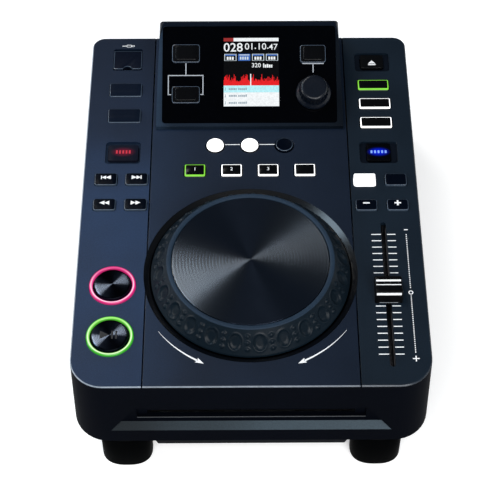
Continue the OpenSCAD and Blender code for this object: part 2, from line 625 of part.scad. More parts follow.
upper_case();
deck_center();
deck_left();
deck_right();
bottom_chassis();
feet();
chassis_screws();
pod_housing();
pod_window();
lcd_module();
button_light_rings();
jog_bearing();
jog_hub();
jog_top_disc();
jog_ring();
jog_rim();
fader_body();
fader_cap();
encoder_shaft();
encoder_knob();
usb_cover();
control_boards();
main_board();
power_supply();
rear_jacks();
power_inlet();
power_rocker();
drive_frame();
feed_roller();
turntable();
pickup_sled();
lead_screw();
browse_button();
lock_button();
back_button();
source_button();
playlist_button();
usb_stop_button();
track_back_button();
track_forward_button();
search_back_button();
search_forward_button();
cue_button();
play_button();
loop_in_button();
loop_out_button();
reloop_button();
hot_cue_1_button();
hot_cue_2_button();
hot_cue_3_button();
hot_cue_store_button();
eject_button();
tempo_range_button();
key_lock_button();
jog_mode_button();
touch_mode_button();
beat_sync_button();
tempo_reset_button();
beat_minus_button();
beat_plus_button();
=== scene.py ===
import math

import bpy
from mathutils import Matrix, Vector


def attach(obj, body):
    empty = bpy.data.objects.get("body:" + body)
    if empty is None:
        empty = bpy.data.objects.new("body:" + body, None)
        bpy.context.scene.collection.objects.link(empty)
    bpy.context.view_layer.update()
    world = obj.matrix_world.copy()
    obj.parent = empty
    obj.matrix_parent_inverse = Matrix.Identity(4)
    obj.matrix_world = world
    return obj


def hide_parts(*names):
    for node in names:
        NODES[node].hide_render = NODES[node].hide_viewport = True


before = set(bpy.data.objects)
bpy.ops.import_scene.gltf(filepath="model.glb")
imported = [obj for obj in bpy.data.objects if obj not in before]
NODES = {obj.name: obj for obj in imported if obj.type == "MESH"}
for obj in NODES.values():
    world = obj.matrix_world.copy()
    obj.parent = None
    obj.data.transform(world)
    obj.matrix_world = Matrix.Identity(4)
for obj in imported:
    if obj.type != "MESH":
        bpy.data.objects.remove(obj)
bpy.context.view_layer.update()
MM = 0.001
DZ = 90.0                      # deck surface
JX, JY = 0.0, -62.0            # jog wheel's axis
JZ = DZ + 13.4                 # its top
POD_Y, POD_Z, TILT = 56.85, 93.0, math.radians(22)
FADER_X, FADER_Y = 83.4, -77.45
ENC = (42.3, 20.5)


# ------------------------------------------------------------------ camera

def make_camera():
    pitch, yaw, roll = (math.radians(a) for a in (53.159, 0.259, -0.061))
    cp, sp, cy, sy, cr, sr = (math.cos(pitch), math.sin(pitch), math.cos(yaw),
                              math.sin(yaw), math.cos(roll), math.sin(roll))
    base = Matrix(((1, 0, 0), (0, -sp, -cp), (0, cp, -sp)))
    turn = Matrix(((cy, -sy, 0), (sy, cy, 0), (0, 0, 1)))
    spin = Matrix(((cr, -sr, 0), (sr, cr, 0), (0, 0, 1)))
    rows = spin @ base @ turn
    right, down, ahead = rows[0], rows[1], rows[2]
    world = Matrix.Identity(4)
    for i in range(3):
        world[i][0], world[i][1], world[i][2] = right[i], -down[i], -ahead[i]
    world[0][3], world[1][3], world[2][3] = -0.00293, -0.63294, 0.87466
    data = bpy.data.cameras.new("camera")
    data.sensor_width, data.lens, data.clip_start = 36.0, 113.886, 0.02
    obj = bpy.data.objects.new("camera", data)
    bpy.context.scene.collection.objects.link(obj)
    obj.matrix_world = world
    bpy.context.scene.camera = obj


# ------------------------------------------------------------------ materials

def _nodes(name):
    m = bpy.data.materials.new(name)
    m.use_nodes = True
    nt = m.node_tree
    return m, nt, nt.nodes["Principled BSDF"]


def _ramp(nt, a, b, lo=0.3, hi=0.7):
    r = nt.nodes.new("ShaderNodeValToRGB")
    r.color_ramp.elements[0].position, r.color_ramp.elements[1].position = lo, hi
    r.color_ramp.elements[0].color, r.color_ramp.elements[1].color = a, b
    return r


def _noise(nt, coord, scale, detail=3.0, rough=0.55):
    n = nt.nodes.new("ShaderNodeTexNoise")
    n.inputs["Scale"].default_value = scale
    n.inputs["Detail"].default_value = detail
    n.inputs["Roughness"].default_value = rough
    nt.links.new(coord, n.inputs["Vector"])
    return n


def _range(nt, src, lo, hi):
    n = nt.nodes.new("ShaderNodeMapRange")
    n.inputs["To Min"].default_value, n.inputs["To Max"].default_value = lo, hi
    nt.links.new(src, n.inputs["Value"])
    return n.outputs["Result"]


def _col(c, k=1.0):
    return (c[0] * k, c[1] * k, c[2] * k, 1.0)


def plastic(name, col, rough=0.5, spec=0.3, grain=1100.0, bump=0.12, var=0.14,
            rough_var=0.07, coat=0.0, metal=0.0, blotch=22.0, painted_light=None):
    """Moulded plastic, paint or rubber: fine sparked grain, slow random colour variation, uneven gloss, and if asked a
    painted light-and-shade gradient along one axis.
    """
    m, nt, b = _nodes(name)
    tc = nt.nodes.new("ShaderNodeTexCoord")
    fine = _noise(nt, tc.outputs["Object"], grain, 2.0, 0.6)
    slow = _noise(nt, tc.outputs["Object"], blotch, 4.0, 0.5)
    ramp = _ramp(nt, _col(col, 1 - var), _col(col, 1 + var))
    nt.links.new(slow.outputs["Fac"], ramp.inputs["Fac"])
    speck = _ramp(nt, _col((1, 1, 1), 0.82), _col((1, 1, 1), 1.12), 0.35, 0.68)
    nt.links.new(fine.outputs["Fac"], speck.inputs["Fac"])
    mix = nt.nodes.new("ShaderNodeMix")
    mix.data_type, mix.blend_type = "RGBA", "MULTIPLY"
    mix.inputs["Factor"].default_value = 1.0
    nt.links.new(ramp.outputs["Color"], mix.inputs["A"])
    nt.links.new(speck.outputs["Color"], mix.inputs["B"])
    colour = mix.outputs["Result"]
    if painted_light:
        # painted light and shade: a slow change of shade along one axis, standing in for uneven lighting: (axis, [(mm,
        # factor), ...]), factors up to 1
        axis, stops = painted_light
        xyz = nt.nodes.new("ShaderNodeSeparateXYZ")
        nt.links.new(tc.outputs["Object"], xyz.inputs["Vector"])
        pos = nt.nodes.new("ShaderNodeMapRange")
        lo, hi = stops[0][0], stops[-1][0]
        pos.inputs["From Min"].default_value, pos.inputs["From Max"].default_value = lo * MM, hi * MM
        nt.links.new(xyz.outputs[axis], pos.inputs["Value"])
        shade = nt.nodes.new("ShaderNodeValToRGB")
        shade.color_ramp.interpolation = "EASE"
        el = shade.color_ramp.elements
        while len(el) < len(stops):
            el.new(0.5)
        for e, (mm, k) in zip(el, stops):
            e.position, e.color = (mm - lo) / (hi - lo), (k, k, k, 1)
        nt.links.new(pos.outputs["Result"], shade.inputs["Fac"])
        mul = nt.nodes.new("ShaderNodeMix")
        mul.data_type, mul.blend_type = "RGBA", "MULTIPLY"
        mul.inputs["Factor"].default_value = 1.0
        nt.links.new(colour, mul.inputs["A"])
        nt.links.new(shade.outputs["Color"], mul.inputs["B"])
        colour = mul.outputs["Result"]
    nt.links.new(colour, b.inputs["Base Color"])
    nt.links.new(_range(nt, slow.outputs["Fac"], rough - rough_var, rough + rough_var),
                 b.inputs["Roughness"])
    bp = nt.nodes.new("ShaderNodeBump")
    bp.inputs["Strength"].default_value = bump
    bp.inputs["Distance"].default_value = 0.00025
    nt.links.new(fine.outputs["Fac"], bp.inputs["Height"])
    nt.links.new(bp.outputs["Normal"], b.inputs["Normal"])
    b.inputs["Specular IOR Level"].default_value = spec
    b.inputs["Metallic"].default_value = metal
    b.inputs["Coat Weight"].default_value = coat
    b.inputs["Coat Roughness"].default_value = 0.06
    return m


def spun(name, col, rough=0.3, aniso=0.85, centre=(0, 0, 0), pitch=1.2, depth=0.25, low=0.55, painted_mark_sheen=False, painted_glint_fans=None):
    """Turned metal: concentric tool marks round an upright axis, stretched highlights; optionally painted sheen on the
    marks and painted highlight fans in the colour.
    """
    m, nt, b = _nodes(name)
    tc = nt.nodes.new("ShaderNodeTexCoord")
    mp = nt.nodes.new("ShaderNodeMapping")
    mp.inputs["Location"].default_value = (-centre[0] * MM, -centre[1] * MM, -centre[2] * MM)
    nt.links.new(tc.outputs["Object"], mp.inputs["Vector"])
    w = nt.nodes.new("ShaderNodeTexWave")
    w.wave_type, w.rings_direction = "RINGS", "Z"
    w.inputs["Scale"].default_value = math.pi / (10 * pitch * MM)
    w.inputs["Distortion"].default_value = 0.0
    nt.links.new(mp.outputs["Vector"], w.inputs["Vector"])
    soft = _noise(nt, mp.outputs["Vector"], 60.0, 5.0)
    ramp = _ramp(nt, _col(col, low), _col(col, 1.2), 0.15, 0.85)
    nt.links.new(w.outputs["Fac"], ramp.inputs["Fac"])
    out = ramp.outputs["Color"]
    if painted_mark_sheen:
        # painted reflection: the tool marks are painted in strongly where they lie across the line of sight and fade
        # elsewhere, as their sheen would
        xyz = nt.nodes.new("ShaderNodeSeparateXYZ")
        nt.links.new(mp.outputs["Vector"], xyz.inputs["Vector"])
        ln = nt.nodes.new("ShaderNodeVectorMath")
        ln.operation = "LENGTH"
        nt.links.new(mp.outputs["Vector"], ln.inputs[0])
        q = nt.nodes.new("ShaderNodeMath")
        q.operation = "DIVIDE"
        nt.links.new(xyz.outputs["Y"], q.inputs[0])
        nt.links.new(ln.outputs["Value"], q.inputs[1])
        ab = nt.nodes.new("ShaderNodeMath")
        ab.operation = "ABSOLUTE"
        nt.links.new(q.outputs["Value"], ab.inputs[0])
        mask = nt.nodes.new("ShaderNodeMapRange")
        mask.interpolation_type = "SMOOTHSTEP"
        mask.inputs["From Min"].default_value, mask.inputs["From Max"].default_value = 0.06, 0.36
        mask.inputs["To Min"].default_value, mask.inputs["To Max"].default_value = 1.0, 0.12
        nt.links.new(ab.outputs["Value"], mask.inputs["Value"])
        mix = nt.nodes.new("ShaderNodeMix")
        mix.data_type = "RGBA"
        mix.inputs["A"].default_value = _col(col)
        nt.links.new(mask.outputs["Result"], mix.inputs["Factor"])
        nt.links.new(ramp.outputs["Color"], mix.inputs["B"])
        out = mix.outputs["Result"]
    if painted_glint_fans is not None:
        # painted highlight and shade: two bright fans across the middle, darker between them, standing in for stretched
        # reflections of the lights
        turn, start, shade = painted_glint_fans
        a = math.radians(turn)
        dot = nt.nodes.new("ShaderNodeVectorMath")
        dot.operation = "DOT_PRODUCT"
        nrm = nt.nodes.new("ShaderNodeVectorMath")
        nrm.operation = "NORMALIZE"
        flatten = nt.nodes.new("ShaderNodeVectorMath")
        flatten.operation = "MULTIPLY"
        flatten.inputs[1].default_value = (1, 1, 0)
        nt.links.new(mp.outputs["Vector"], flatten.inputs[0])
        nt.links.new(flatten.outputs["Vector"], nrm.inputs[0])
        nt.links.new(nrm.outputs["Vector"], dot.inputs[0])
        dot.inputs[1].default_value = (math.cos(a), math.sin(a), 0)
        sq = nt.nodes.new("ShaderNodeMath")
        sq.operation = "ABSOLUTE"
        nt.links.new(dot.outputs["Value"], sq.inputs[0])
        glint_fan_ramp = nt.nodes.new("ShaderNodeValToRGB")
        glint_fan_ramp.color_ramp.interpolation = "EASE"
        glint_fan_ramp.color_ramp.elements[0].position, glint_fan_ramp.color_ramp.elements[1].position = start, 1.0
        glint_fan_ramp.color_ramp.elements[0].color, glint_fan_ramp.color_ramp.elements[1].color = _col(shade), (1, 1, 1, 1)
        nt.links.new(sq.outputs["Value"], glint_fan_ramp.inputs["Fac"])
        mul = nt.nodes.new("ShaderNodeMix")
        mul.data_type, mul.blend_type = "RGBA", "MULTIPLY"
        mul.inputs["Factor"].default_value = 1.0
        nt.links.new(out, mul.inputs["A"])
        nt.links.new(glint_fan_ramp.outputs["Color"], mul.inputs["B"])
        out = mul.outputs["Result"]
    nt.links.new(out, b.inputs["Base Color"])
    nt.links.new(_range(nt, soft.outputs["Fac"], rough - 0.03, rough + 0.03), b.inputs["Roughness"])
    bp = nt.nodes.new("ShaderNodeBump")
    bp.inputs["Strength"].default_value = depth
    bp.inputs["Distance"].default_value = 0.0001
    nt.links.new(w.outputs["Fac"], bp.inputs["Height"])
    nt.links.new(bp.outputs["Normal"], b.inputs["Normal"])
    tg = nt.nodes.new("ShaderNodeTangent")
    tg.direction_type, tg.axis = "RADIAL", "Z"
    nt.links.new(tg.outputs["Tangent"], b.inputs["Tangent"])
    b.inputs["Metallic"].default_value = 1.0
    b.inputs["Anisotropic"].default_value = aniso
    b.inputs["Anisotropic Rotation"].default_value = 0.25
    return m


def edge_painted_highlight(name, base, bright, x1, y0, r, seam=None, spec=0.30):
    """Rounded edges with a painted highlight: a lighter colour along the outline of the deck, fading out towards the
    right, and a fainter one along the seam; plain elsewhere.
    """
    m, nt, b = _nodes(name)
    tc = nt.nodes.new("ShaderNodeTexCoord")
    xyz = nt.nodes.new("ShaderNodeSeparateXYZ")
    nt.links.new(tc.outputs["Object"], xyz.inputs["Vector"])

    def op(kind, a, c=None):
        n = nt.nodes.new("ShaderNodeMath")
        n.operation = kind
        for i, v in enumerate((a, c)):
            if v is None:
                continue
            if isinstance(v, (int, float)):
                n.inputs[i].default_value = v
            else:
                nt.links.new(v, n.inputs[i])
        return n.outputs["Value"]
    ax = op("ABSOLUTE", xyz.outputs["X"])
    qx = op("MAXIMUM", op("SUBTRACT", ax, x1 - r), 0.0)
    qy = op("MAXIMUM", op("SUBTRACT", y0 + r, xyz.outputs["Y"]), 0.0)
    ln = op("SQRT", op("ADD", op("MULTIPLY", qx, qx), op("MULTIPLY", qy, qy)))
    mask = op("GREATER_THAN", ln, r - 0.0006)
    fade = nt.nodes.new("ShaderNodeMapRange")
    fade.inputs["From Min"].default_value, fade.inputs["From Max"].default_value = 0.02, 0.10
    fade.inputs["To Min"].default_value, fade.inputs["To Max"].default_value = 1.0, 0.04
    nt.links.new(xyz.outputs["X"], fade.inputs["Value"])
    mask = op("MULTIPLY", mask, fade.outputs["Result"])
    # painted highlight: a fainter lighter line along the edges of the seam between panels
    if seam:
        near = op("GREATER_THAN", ax, seam - 0.0009)
        far = op("LESS_THAN", ax, seam + 0.0006)
        mask = op("MAXIMUM", mask, op("MULTIPLY", op("MULTIPLY", near, far), 0.16))
    n = _noise(nt, tc.outputs["Object"], 260.0, 3.0)
    soft = _ramp(nt, _col(bright, 0.8), _col(bright, 1.1))
    nt.links.new(n.outputs["Fac"], soft.inputs["Fac"])
    mix = nt.nodes.new("ShaderNodeMix")
    mix.data_type = "RGBA"
    mix.inputs["A"].default_value = _col(base)
    nt.links.new(mask, mix.inputs["Factor"])
    nt.links.new(soft.outputs["Color"], mix.inputs["B"])
    nt.links.new(mix.outputs["Result"], b.inputs["Base Color"])
    b.inputs["Specular IOR Level"].default_value = spec
    nt.links.new(_range(nt, n.outputs["Fac"], 0.24, 0.36), b.inputs["Roughness"])
    return m


def ring_glow(name, cx, cy, stops, top_stops):
    """Ring lens lit from below: colours by distance from the button's middle, deeper towards the rear."""
    m, nt, b = _nodes(name)
    tc = nt.nodes.new("ShaderNodeTexCoord")
    mp = nt.nodes.new("ShaderNodeMapping")
    mp.inputs["Location"].default_value = (-cx * MM, -cy * MM, 0)
    mp.inputs["Scale"].default_value = (1, 1, 0)
    nt.links.new(tc.outputs["Object"], mp.inputs["Vector"])
    ln = nt.nodes.new("ShaderNodeVectorMath")
    ln.operation = "LENGTH"
    nt.links.new(mp.outputs["Vector"], ln.inputs[0])
    rg = nt.nodes.new("ShaderNodeMapRange")
    rg.inputs["From Min"].default_value, rg.inputs["From Max"].default_value = 11.4 * MM, 14.4 * MM
    nt.links.new(ln.outputs["Value"], rg.inputs["Value"])
    ramps = []
    for st in (stops, top_stops):
        r = nt.nodes.new("ShaderNodeValToRGB")
        r.color_ramp.interpolation = "EASE"
        el = r.color_ramp.elements
        while len(el) < len(st):
            el.new(0.5)
        for e, (t, c) in zip(el, st):
            e.position, e.color = t, (c[0], c[1], c[2], 1)
        nt.links.new(rg.outputs["Result"], r.inputs["Fac"])
        ramps.append(r)
    xyz = nt.nodes.new("ShaderNodeSeparateXYZ")
    nt.links.new(mp.outputs["Vector"], xyz.inputs["Vector"])
    up = nt.nodes.new("ShaderNodeMapRange")
    up.inputs["From Min"].default_value, up.inputs["From Max"].default_value = -2 * MM, 13 * MM
    nt.links.new(xyz.outputs["Y"], up.inputs["Value"])
    mix = nt.nodes.new("ShaderNodeMix")
    mix.data_type = "RGBA"
    nt.links.new(up.outputs["Result"], mix.inputs["Factor"])
    nt.links.new(ramps[0].outputs["Color"], mix.inputs["A"])
    nt.links.new(ramps[1].outputs["Color"], mix.inputs["B"])
    nt.links.new(mix.outputs["Result"], b.inputs["Emission Color"])
    b.inputs["Emission Strength"].default_value = 1.0
    b.inputs["Base Color"].default_value = (0.02, 0.02, 0.02, 1)
    b.inputs["Roughness"].default_value = 0.25
    return m


def patch_glow(name, cx, cy, hw, hd, base, glow, rough=0.2, spec=0.3):
    """Smoked key with a soft patch of light behind its middle."""
    m, nt, b = _nodes(name)
    tc = nt.nodes.new("ShaderNodeTexCoord")
    mp = nt.nodes.new("ShaderNodeMapping")
    mp.inputs["Location"].default_value = (-cx / hw, -cy / hd, 0)
    mp.inputs["Scale"].default_value = (1000.0 / hw, 1000.0 / hd, 0)
    nt.links.new(tc.outputs["Object"], mp.inputs["Vector"])
    ln = nt.nodes.new("ShaderNodeVectorMath")
    ln.operation = "LENGTH"
    nt.links.new(mp.outputs["Vector"], ln.inputs[0])
    r = nt.nodes.new("ShaderNodeValToRGB")
    r.color_ramp.interpolation = "EASE"
    r.color_ramp.elements[0].position, r.color_ramp.elements[1].position = 0.25, 1.0
    r.color_ramp.elements[0].color, r.color_ramp.elements[1].color = _col(glow), (0, 0, 0, 1)
    nt.links.new(ln.outputs["Value"], r.inputs["Fac"])
    nt.links.new(r.outputs["Color"], b.inputs["Emission Color"])
    b.inputs["Emission Strength"].default_value = 1.0
    n = _noise(nt, tc.outputs["Object"], 30.0, 3.0)
    ramp = _ramp(nt, _col(base, 0.85), _col(base, 1.15))
    nt.links.new(n.outputs["Fac"], ramp.inputs["Fac"])
    nt.links.new(ramp.outputs["Color"], b.inputs["Base Color"])
    nt.links.new(_range(nt, n.outputs["Fac"], rough - 0.04, rough + 0.04), b.inputs["Roughness"])
    b.inputs["Specular IOR Level"].default_value = spec
    return m


def metal(name, col, rough=0.3, grain=400.0, stretch=(1, 1, 1), bump=0.08, var=0.12):
    """Drawn or ground metal: streaks along one direction."""
    m, nt, b = _nodes(name)
    tc = nt.nodes.new("ShaderNodeTexCoord")
    mp = nt.nodes.new("ShaderNodeMapping")
    mp.inputs["Scale"].default_value = stretch
    nt.links.new(tc.outputs["Object"], mp.inputs["Vector"])
    n = _noise(nt, mp.outputs["Vector"], grain, 4.0)
    ramp = _ramp(nt, _col(col, 1 - var), _col(col, 1 + var))
    nt.links.new(n.outputs["Fac"], ramp.inputs["Fac"])
    nt.links.new(ramp.outputs["Color"], b.inputs["Base Color"])
    nt.links.new(_range(nt, n.outputs["Fac"], rough - 0.08, rough + 0.08), b.inputs["Roughness"])
    bp = nt.nodes.new("ShaderNodeBump")
    bp.inputs["Strength"].default_value = bump
    bp.inputs["Distance"].default_value = 0.0001
    nt.links.new(n.outputs["Fac"], bp.inputs["Height"])
    nt.links.new(bp.outputs["Normal"], b.inputs["Normal"])
    b.inputs["Metallic"].default_value = 1.0
    return m


def lit(name, col, glow, strength=1.0, rough=0.35, scale=180.0):
    """Frosted light pipe: emission that drifts a little, as the diode behind it does."""
    m, nt, b = _nodes(name)
    tc = nt.nodes.new("ShaderNodeTexCoord")
    n = _noise(nt, tc.outputs["Object"], scale, 2.0)
    ramp = _ramp(nt, _col(glow, 0.86), _col(glow, 1.0), 0.35, 0.6)
    nt.links.new(n.outputs["Fac"], ramp.inputs["Fac"])
    nt.links.new(ramp.outputs["Color"], b.inputs["Emission Color"])
    b.inputs["Emission Strength"].default_value = strength
    b.inputs["Base Color"].default_value = _col(col)
    b.inputs["Roughness"].default_value = rough
    return m


M = {}


def make_materials():
    M["case"] = plastic("case_plastic", (0.0013, 0.0019, 0.0038), 0.5, 0.004, 1300, 0.10)
    # painted light: the deck centre is lighter on the left and darker towards the right along X, shade painted into the
    # plastic
    M["deck"] = plastic("deck_plastic", (0.0096, 0.0208, 0.0465), 0.45, 0.16, 1200, 0.12,
                        painted_light=("X", [(-70, 0.94), (-25, 0.52), (70, 0.46)]))
    # painted light and shade: the left panel is a brighter, lit copy of the deck plastic with a painted gradient along
    # Y; the right panel is a darker, shaded copy
    M["deck_left"] = plastic("deck_left_painted_light", (0.0166, 0.0380, 0.0900), 0.45, 0.17, 1200, 0.12,
                             painted_light=("Y", [(-146, 0.64), (-60, 0.80), (-5, 0.82), (60, 0.40), (135, 0.29)]))
    M["deck_right"] = plastic("deck_plastic_right", (0.0048, 0.0108, 0.0195), 0.45, 0.16, 1200, 0.12)
    # painted light: the front pocket's sloped floor is a lighter copy of the case plastic, as if lit from above, darker
    # on the left and lighter on the right along X
    M["pocket"] = plastic("pocket_painted_light", (0.0460, 0.0700, 0.0900), 0.42, 0.10, 1200, 0.20,
                          painted_light=("X", [(-85, 0.20), (-30, 0.44), (20, 0.76), (85, 0.96)]))
    # painted highlight: a lighter plastic for the thin rod along the slot recess's lower lip
    M["slot_line"] = plastic("slot_lip_painted_highlight", (0.0380, 0.0430, 0.0500), 0.3, 0.3, 500, 0.45, 0.4)
    # painted shade: recess floors get darker copies of the deck plastic, the left one less dark as the left panel is
    # painted lighter
    M["pit"] = plastic("recess_painted_shade", (0.0036, 0.0058, 0.0105), 0.4, 0.03, 1200, 0.05)
    M["pit_left"] = plastic("recess_painted_shade_left", (0.0110, 0.0200, 0.0390), 0.4, 0.03, 1200, 0.05)
    M["lip"] = plastic("well_lip_gloss", (0.0010, 0.0015, 0.0028), 0.22, 0.52, 900, 0.01)
    # painted light: the pod housing is lighter on its left and darker towards its right along X; its bevelled edges get
    # a brighter painted-highlight colour that fades the same way
    M["pod"] = plastic("pod_plastic", (0.0180, 0.0330, 0.0580), 0.40, 0.08, 1300, 0.08,
                       painted_light=("X", [(-62, 1.0), (-50, 0.42), (50, 0.19), (62, 0.14)]))
    M["pod_edge_highlight"] = plastic("pod_edge_painted_highlight", (0.0700, 0.0960, 0.1400), 0.30, 0.60, 900, 0.06,
                            painted_light=("X", [(-62, 1.0), (-50, 0.4), (50, 0.30), (62, 0.5)]))
    M["pod_top"] = plastic("pod_top_plastic", (0.0036, 0.0062, 0.0120), 0.40, 0.03, 1300, 0.08)
    # painted highlight: a lighter colour for the thin rim round the pod keys, standing in for the light their edges
    # catch
    M["key_rim"] = plastic("key_rim_plastic", (0.0640, 0.0880, 0.1250), 0.20, 0.55, 1500, 0.02)
    M["groove"] = plastic("seam_shadow_plastic", (0.004, 0.005, 0.007), 0.6, 0.1)
    M["window"] = plastic("window_gloss", (0.0004, 0.0006, 0.0012), 0.10, 0.07, 300, 0.0, 0.2, 0.008)
    M["key"] = plastic("key_plastic", (0.0010, 0.0022, 0.0056), 0.26, 0.035, 1500, 0.02)
    # painted highlight: a lighter edge colour that makes thin bright outlines on keys and on the port cover's top edge
    M["key_line"] = plastic("key_edge_painted_highlight", (0.0460, 0.0680, 0.1000), 0.22, 0.50, 1500, 0.02)
    M["key_soft"] = plastic("key_soft_plastic", (0.0034, 0.0066, 0.0150), 0.42, 0.03, 1500, 0.04)
    M["key_top"] = plastic("key_top_gloss", (0.0008, 0.0010, 0.0016), 0.2, 0.25, 900, 0.01)
    M["key_blue"] = patch_glow("key_smoke_blue", 83.7, 34.1, 8.3, 4.3, (0.0006, 0.0008, 0.0016), (0.0, 0.012, 0.62), 0.3, 0.06)
    M["key_red"] = patch_glow("key_smoke_red", -82.2, 34.9, 9.2, 4.6, (0.0060, 0.0075, 0.0150), (0.10, 0.002, 0.012), 0.3, 0.05)
    M["white_lit"] = lit("lit_white", (0.8, 0.8, 0.8), (1.0, 0.99, 1.0), 1.05)
    M["green_lit"] = lit("lit_green", (0.03, 0.06, 0.02), (0.27, 0.84, 0.045), 0.95)
    M["blue_lit"] = lit("lit_blue", (0.01, 0.02, 0.1), (0.10, 0.24, 1.0), 1.0)
    M["blue_pale"] = lit("lit_blue_pale", (0.05, 0.06, 0.1), (0.20, 0.40, 1.0), 1.0)
    M["red_lit"] = lit("lit_red", (0.05, 0.005, 0.008), (0.62, 0.008, 0.035), 0.9)
    M["ink"] = plastic("white_ink", (0.93, 0.94, 0.96), 0.5, 0.3, 2500, 0.0, 0.03)
    M["ink_grey"] = plastic("grey_ink", (0.40, 0.43, 0.47), 0.5, 0.3, 2500, 0.0, 0.05)
    M["ink_dark"] = plastic("dark_ink", (0.012, 0.013, 0.016), 0.45, 0.3, 2500, 0.05, 0.05)
    # painted highlight: the disc's colour carries two bright fans at 20 degrees with darker sectors between, on top of
    # its real stretched reflections
    M["disc"] = spun("spun_disc_painted_glints", (0.096, 0.114, 0.140), 0.20, 0.955, (JX, JY, JZ), 2.0, 0.015, 0.70, True,
                     (20, 0.45, (0.56, 0.64, 0.82)))
    M["cap_metal"] = spun("spun_cap", (0.20, 0.215, 0.25), 0.26, 0.88, (0, 0, 0), 0.5, 0.1)
    M["ring"] = plastic("ring_plastic", (0.0150, 0.0290, 0.0500), 0.5, 0.12, 1400, 0.05)
    M["rim"] = plastic("rim_rubber", (0.0044, 0.0094, 0.0150), 0.32, 0.11, 1600, 0.06)
    M["well"] = plastic("well_plastic", (0.0012, 0.0016, 0.0028), 0.36, 0.02, 1200, 0.05)
    M["rubber"] = plastic("foot_rubber", (0.0006, 0.0008, 0.0009), 0.45, 0.003, 1400, 0.08)
    M["cap"] = plastic("cap_plastic", (0.0010, 0.0012, 0.0018), 0.30, 0.12, 1500, 0.03)
    M["knob"] = plastic("knob_rubber", (0.0024, 0.0044, 0.0092), 0.28, 0.34, 1500, 0.06)
    M["chassis"] = plastic("powder_coat", (0.0035, 0.0045, 0.0062), 0.55, 0.03, 1800, 0.35, 0.1)
    M["steel"] = metal("galvanised_steel", (0.42, 0.44, 0.47), 0.38, 220, (1, 0.15, 1), 0.1, 0.2)
    M["shaft"] = metal("ground_steel", (0.55, 0.55, 0.57), 0.22, 500, (0.2, 1, 1), 0.05)
    M["fader_metal"] = metal("fader_metal", (0.10, 0.10, 0.11), 0.4, 400, (1, 0.1, 1))
    M["nickel"] = metal("nickel", (0.66, 0.64, 0.60), 0.2, 700, (1, 1, 1), 0.03, 0.06)
    M["gold"] = metal("gold_plate", (0.75, 0.52, 0.20), 0.25, 700, (1, 1, 1), 0.03, 0.06)
    M["screw"] = metal("zinc_black", (0.10, 0.10, 0.11), 0.35, 900)
    M["ins_white"] = plastic("insulator_white", (0.62, 0.62, 0.60), 0.4, 0.4, 800, 0.05, 0.05)
    M["ins_red"] = plastic("insulator_red", (0.42, 0.018, 0.016), 0.4, 0.4, 800, 0.05, 0.08)
    M["board"] = plastic("circuit_board", (0.012, 0.085, 0.040), 0.35, 0.5, 320, 0.3, 0.35, 0.1)
    M["supply"] = plastic("supply_board", (0.20, 0.13, 0.045), 0.4, 0.4, 260, 0.3, 0.35, 0.1)
    M["socket"] = plastic("socket_plastic", (0.0080, 0.0085, 0.0095), 0.38, 0.4, 1200, 0.08)
    M["drive"] = plastic("drive_plastic", (0.012, 0.012, 0.014), 0.5, 0.35, 1000, 0.1)
    M["roller"] = plastic("roller_rubber", (0.014, 0.014, 0.016), 0.7, 0.25, 1500, 0.2)
    M["lcd_back"] = plastic("lcd_back", (0.03, 0.034, 0.04), 0.4, 0.3, 800, 0.1)
    for k, c, s in (("px_white", (0.94, 0.98, 1.0), 1.0), ("px_red", (0.84, 0.006, 0.010), 1.0),
                    ("px_darkred", (0.36, 0.02, 0.02), 0.9), ("px_cyan", (0.52, 0.93, 1.0), 1.0),
                    ("px_blue", (0.05, 0.16, 0.55), 0.9), ("px_grey", (0.35, 0.45, 0.52), 0.9),
                    ("px_line", (0.70, 0.80, 0.86), 0.95)):
        M[k] = lit(k, (0.01, 0.01, 0.01), c, s, 0.3, 900.0)
        M[k].node_tree.nodes["Principled BSDF"].inputs["Specular IOR Level"].default_value = 0.04
    M["px_black"] = plastic("px_black", (0.0030, 0.0032, 0.0038), 0.2, 0.05, 900, 0.0)


# ------------------------------------------------------------------ mesh helpers

def make(name, verts, faces, mats, body, angle=32, rep=(), index=None):
    """A closed mesh from points in millimetres, riding on a body."""
    me = bpy.data.meshes.new(name)
    me.from_pydata([Vector(v) * MM for v in verts], [], faces)
    me.validate()
    me.update()
    for m in mats:
        me.materials.append(m)
    if index is not None:
        for i, p in enumerate(me.polygons):
            p.material_index = index[i]
    me.polygons.foreach_set("use_smooth", [True] * len(me.polygons))
    me.set_sharp_from_angle(angle=math.radians(angle))
    o = bpy.data.objects.new(name, me)
    bpy.context.scene.collection.objects.link(o)
    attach(o, body)
    if rep:
        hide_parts(*rep)
    return o


class Build:
    """Collects several closed shapes into one mesh, each with its own material number."""

    def __init__(self):
        self.v, self.f, self.m = [], [], []

    def add(self, verts, faces, mat=0, fn=None):
        k = len(self.v)
        self.v += [fn(p) for p in verts] if fn else list(verts)
        self.f += [tuple(i + k for i in f) for f in faces]
        self.m += list(mat) if isinstance(mat, (list, tuple)) else [mat] * len(faces)
        return self

    def done(self, name, mats, body, angle=32, rep=()):
        return make(name, self.v, self.f, mats, body, angle, rep, self.m)


def deck(x=0.0, y=0.0, z=0.0):
    return lambda p: (p[0] + x, p[1] + y, p[2] + z + DZ)


def pod(u=0.0, v=0.0, h=0.0):
    c, s = math.cos(TILT), math.sin(TILT)

    def fn(p):
        a, b, n = p[0] + u, p[1] + v, p[2] + h
        return (a, POD_Y + b * c - n * s, POD_Z + b * s + n * c)
    return fn


def arc(cx, cy, r, a0, a1, n):
    return [(cx + r * math.cos(math.radians(a0 + (a1 - a0) * i / n)),
             cy + r * math.sin(math.radians(a0 + (a1 - a0) * i / n))) for i in range(n + 1)]


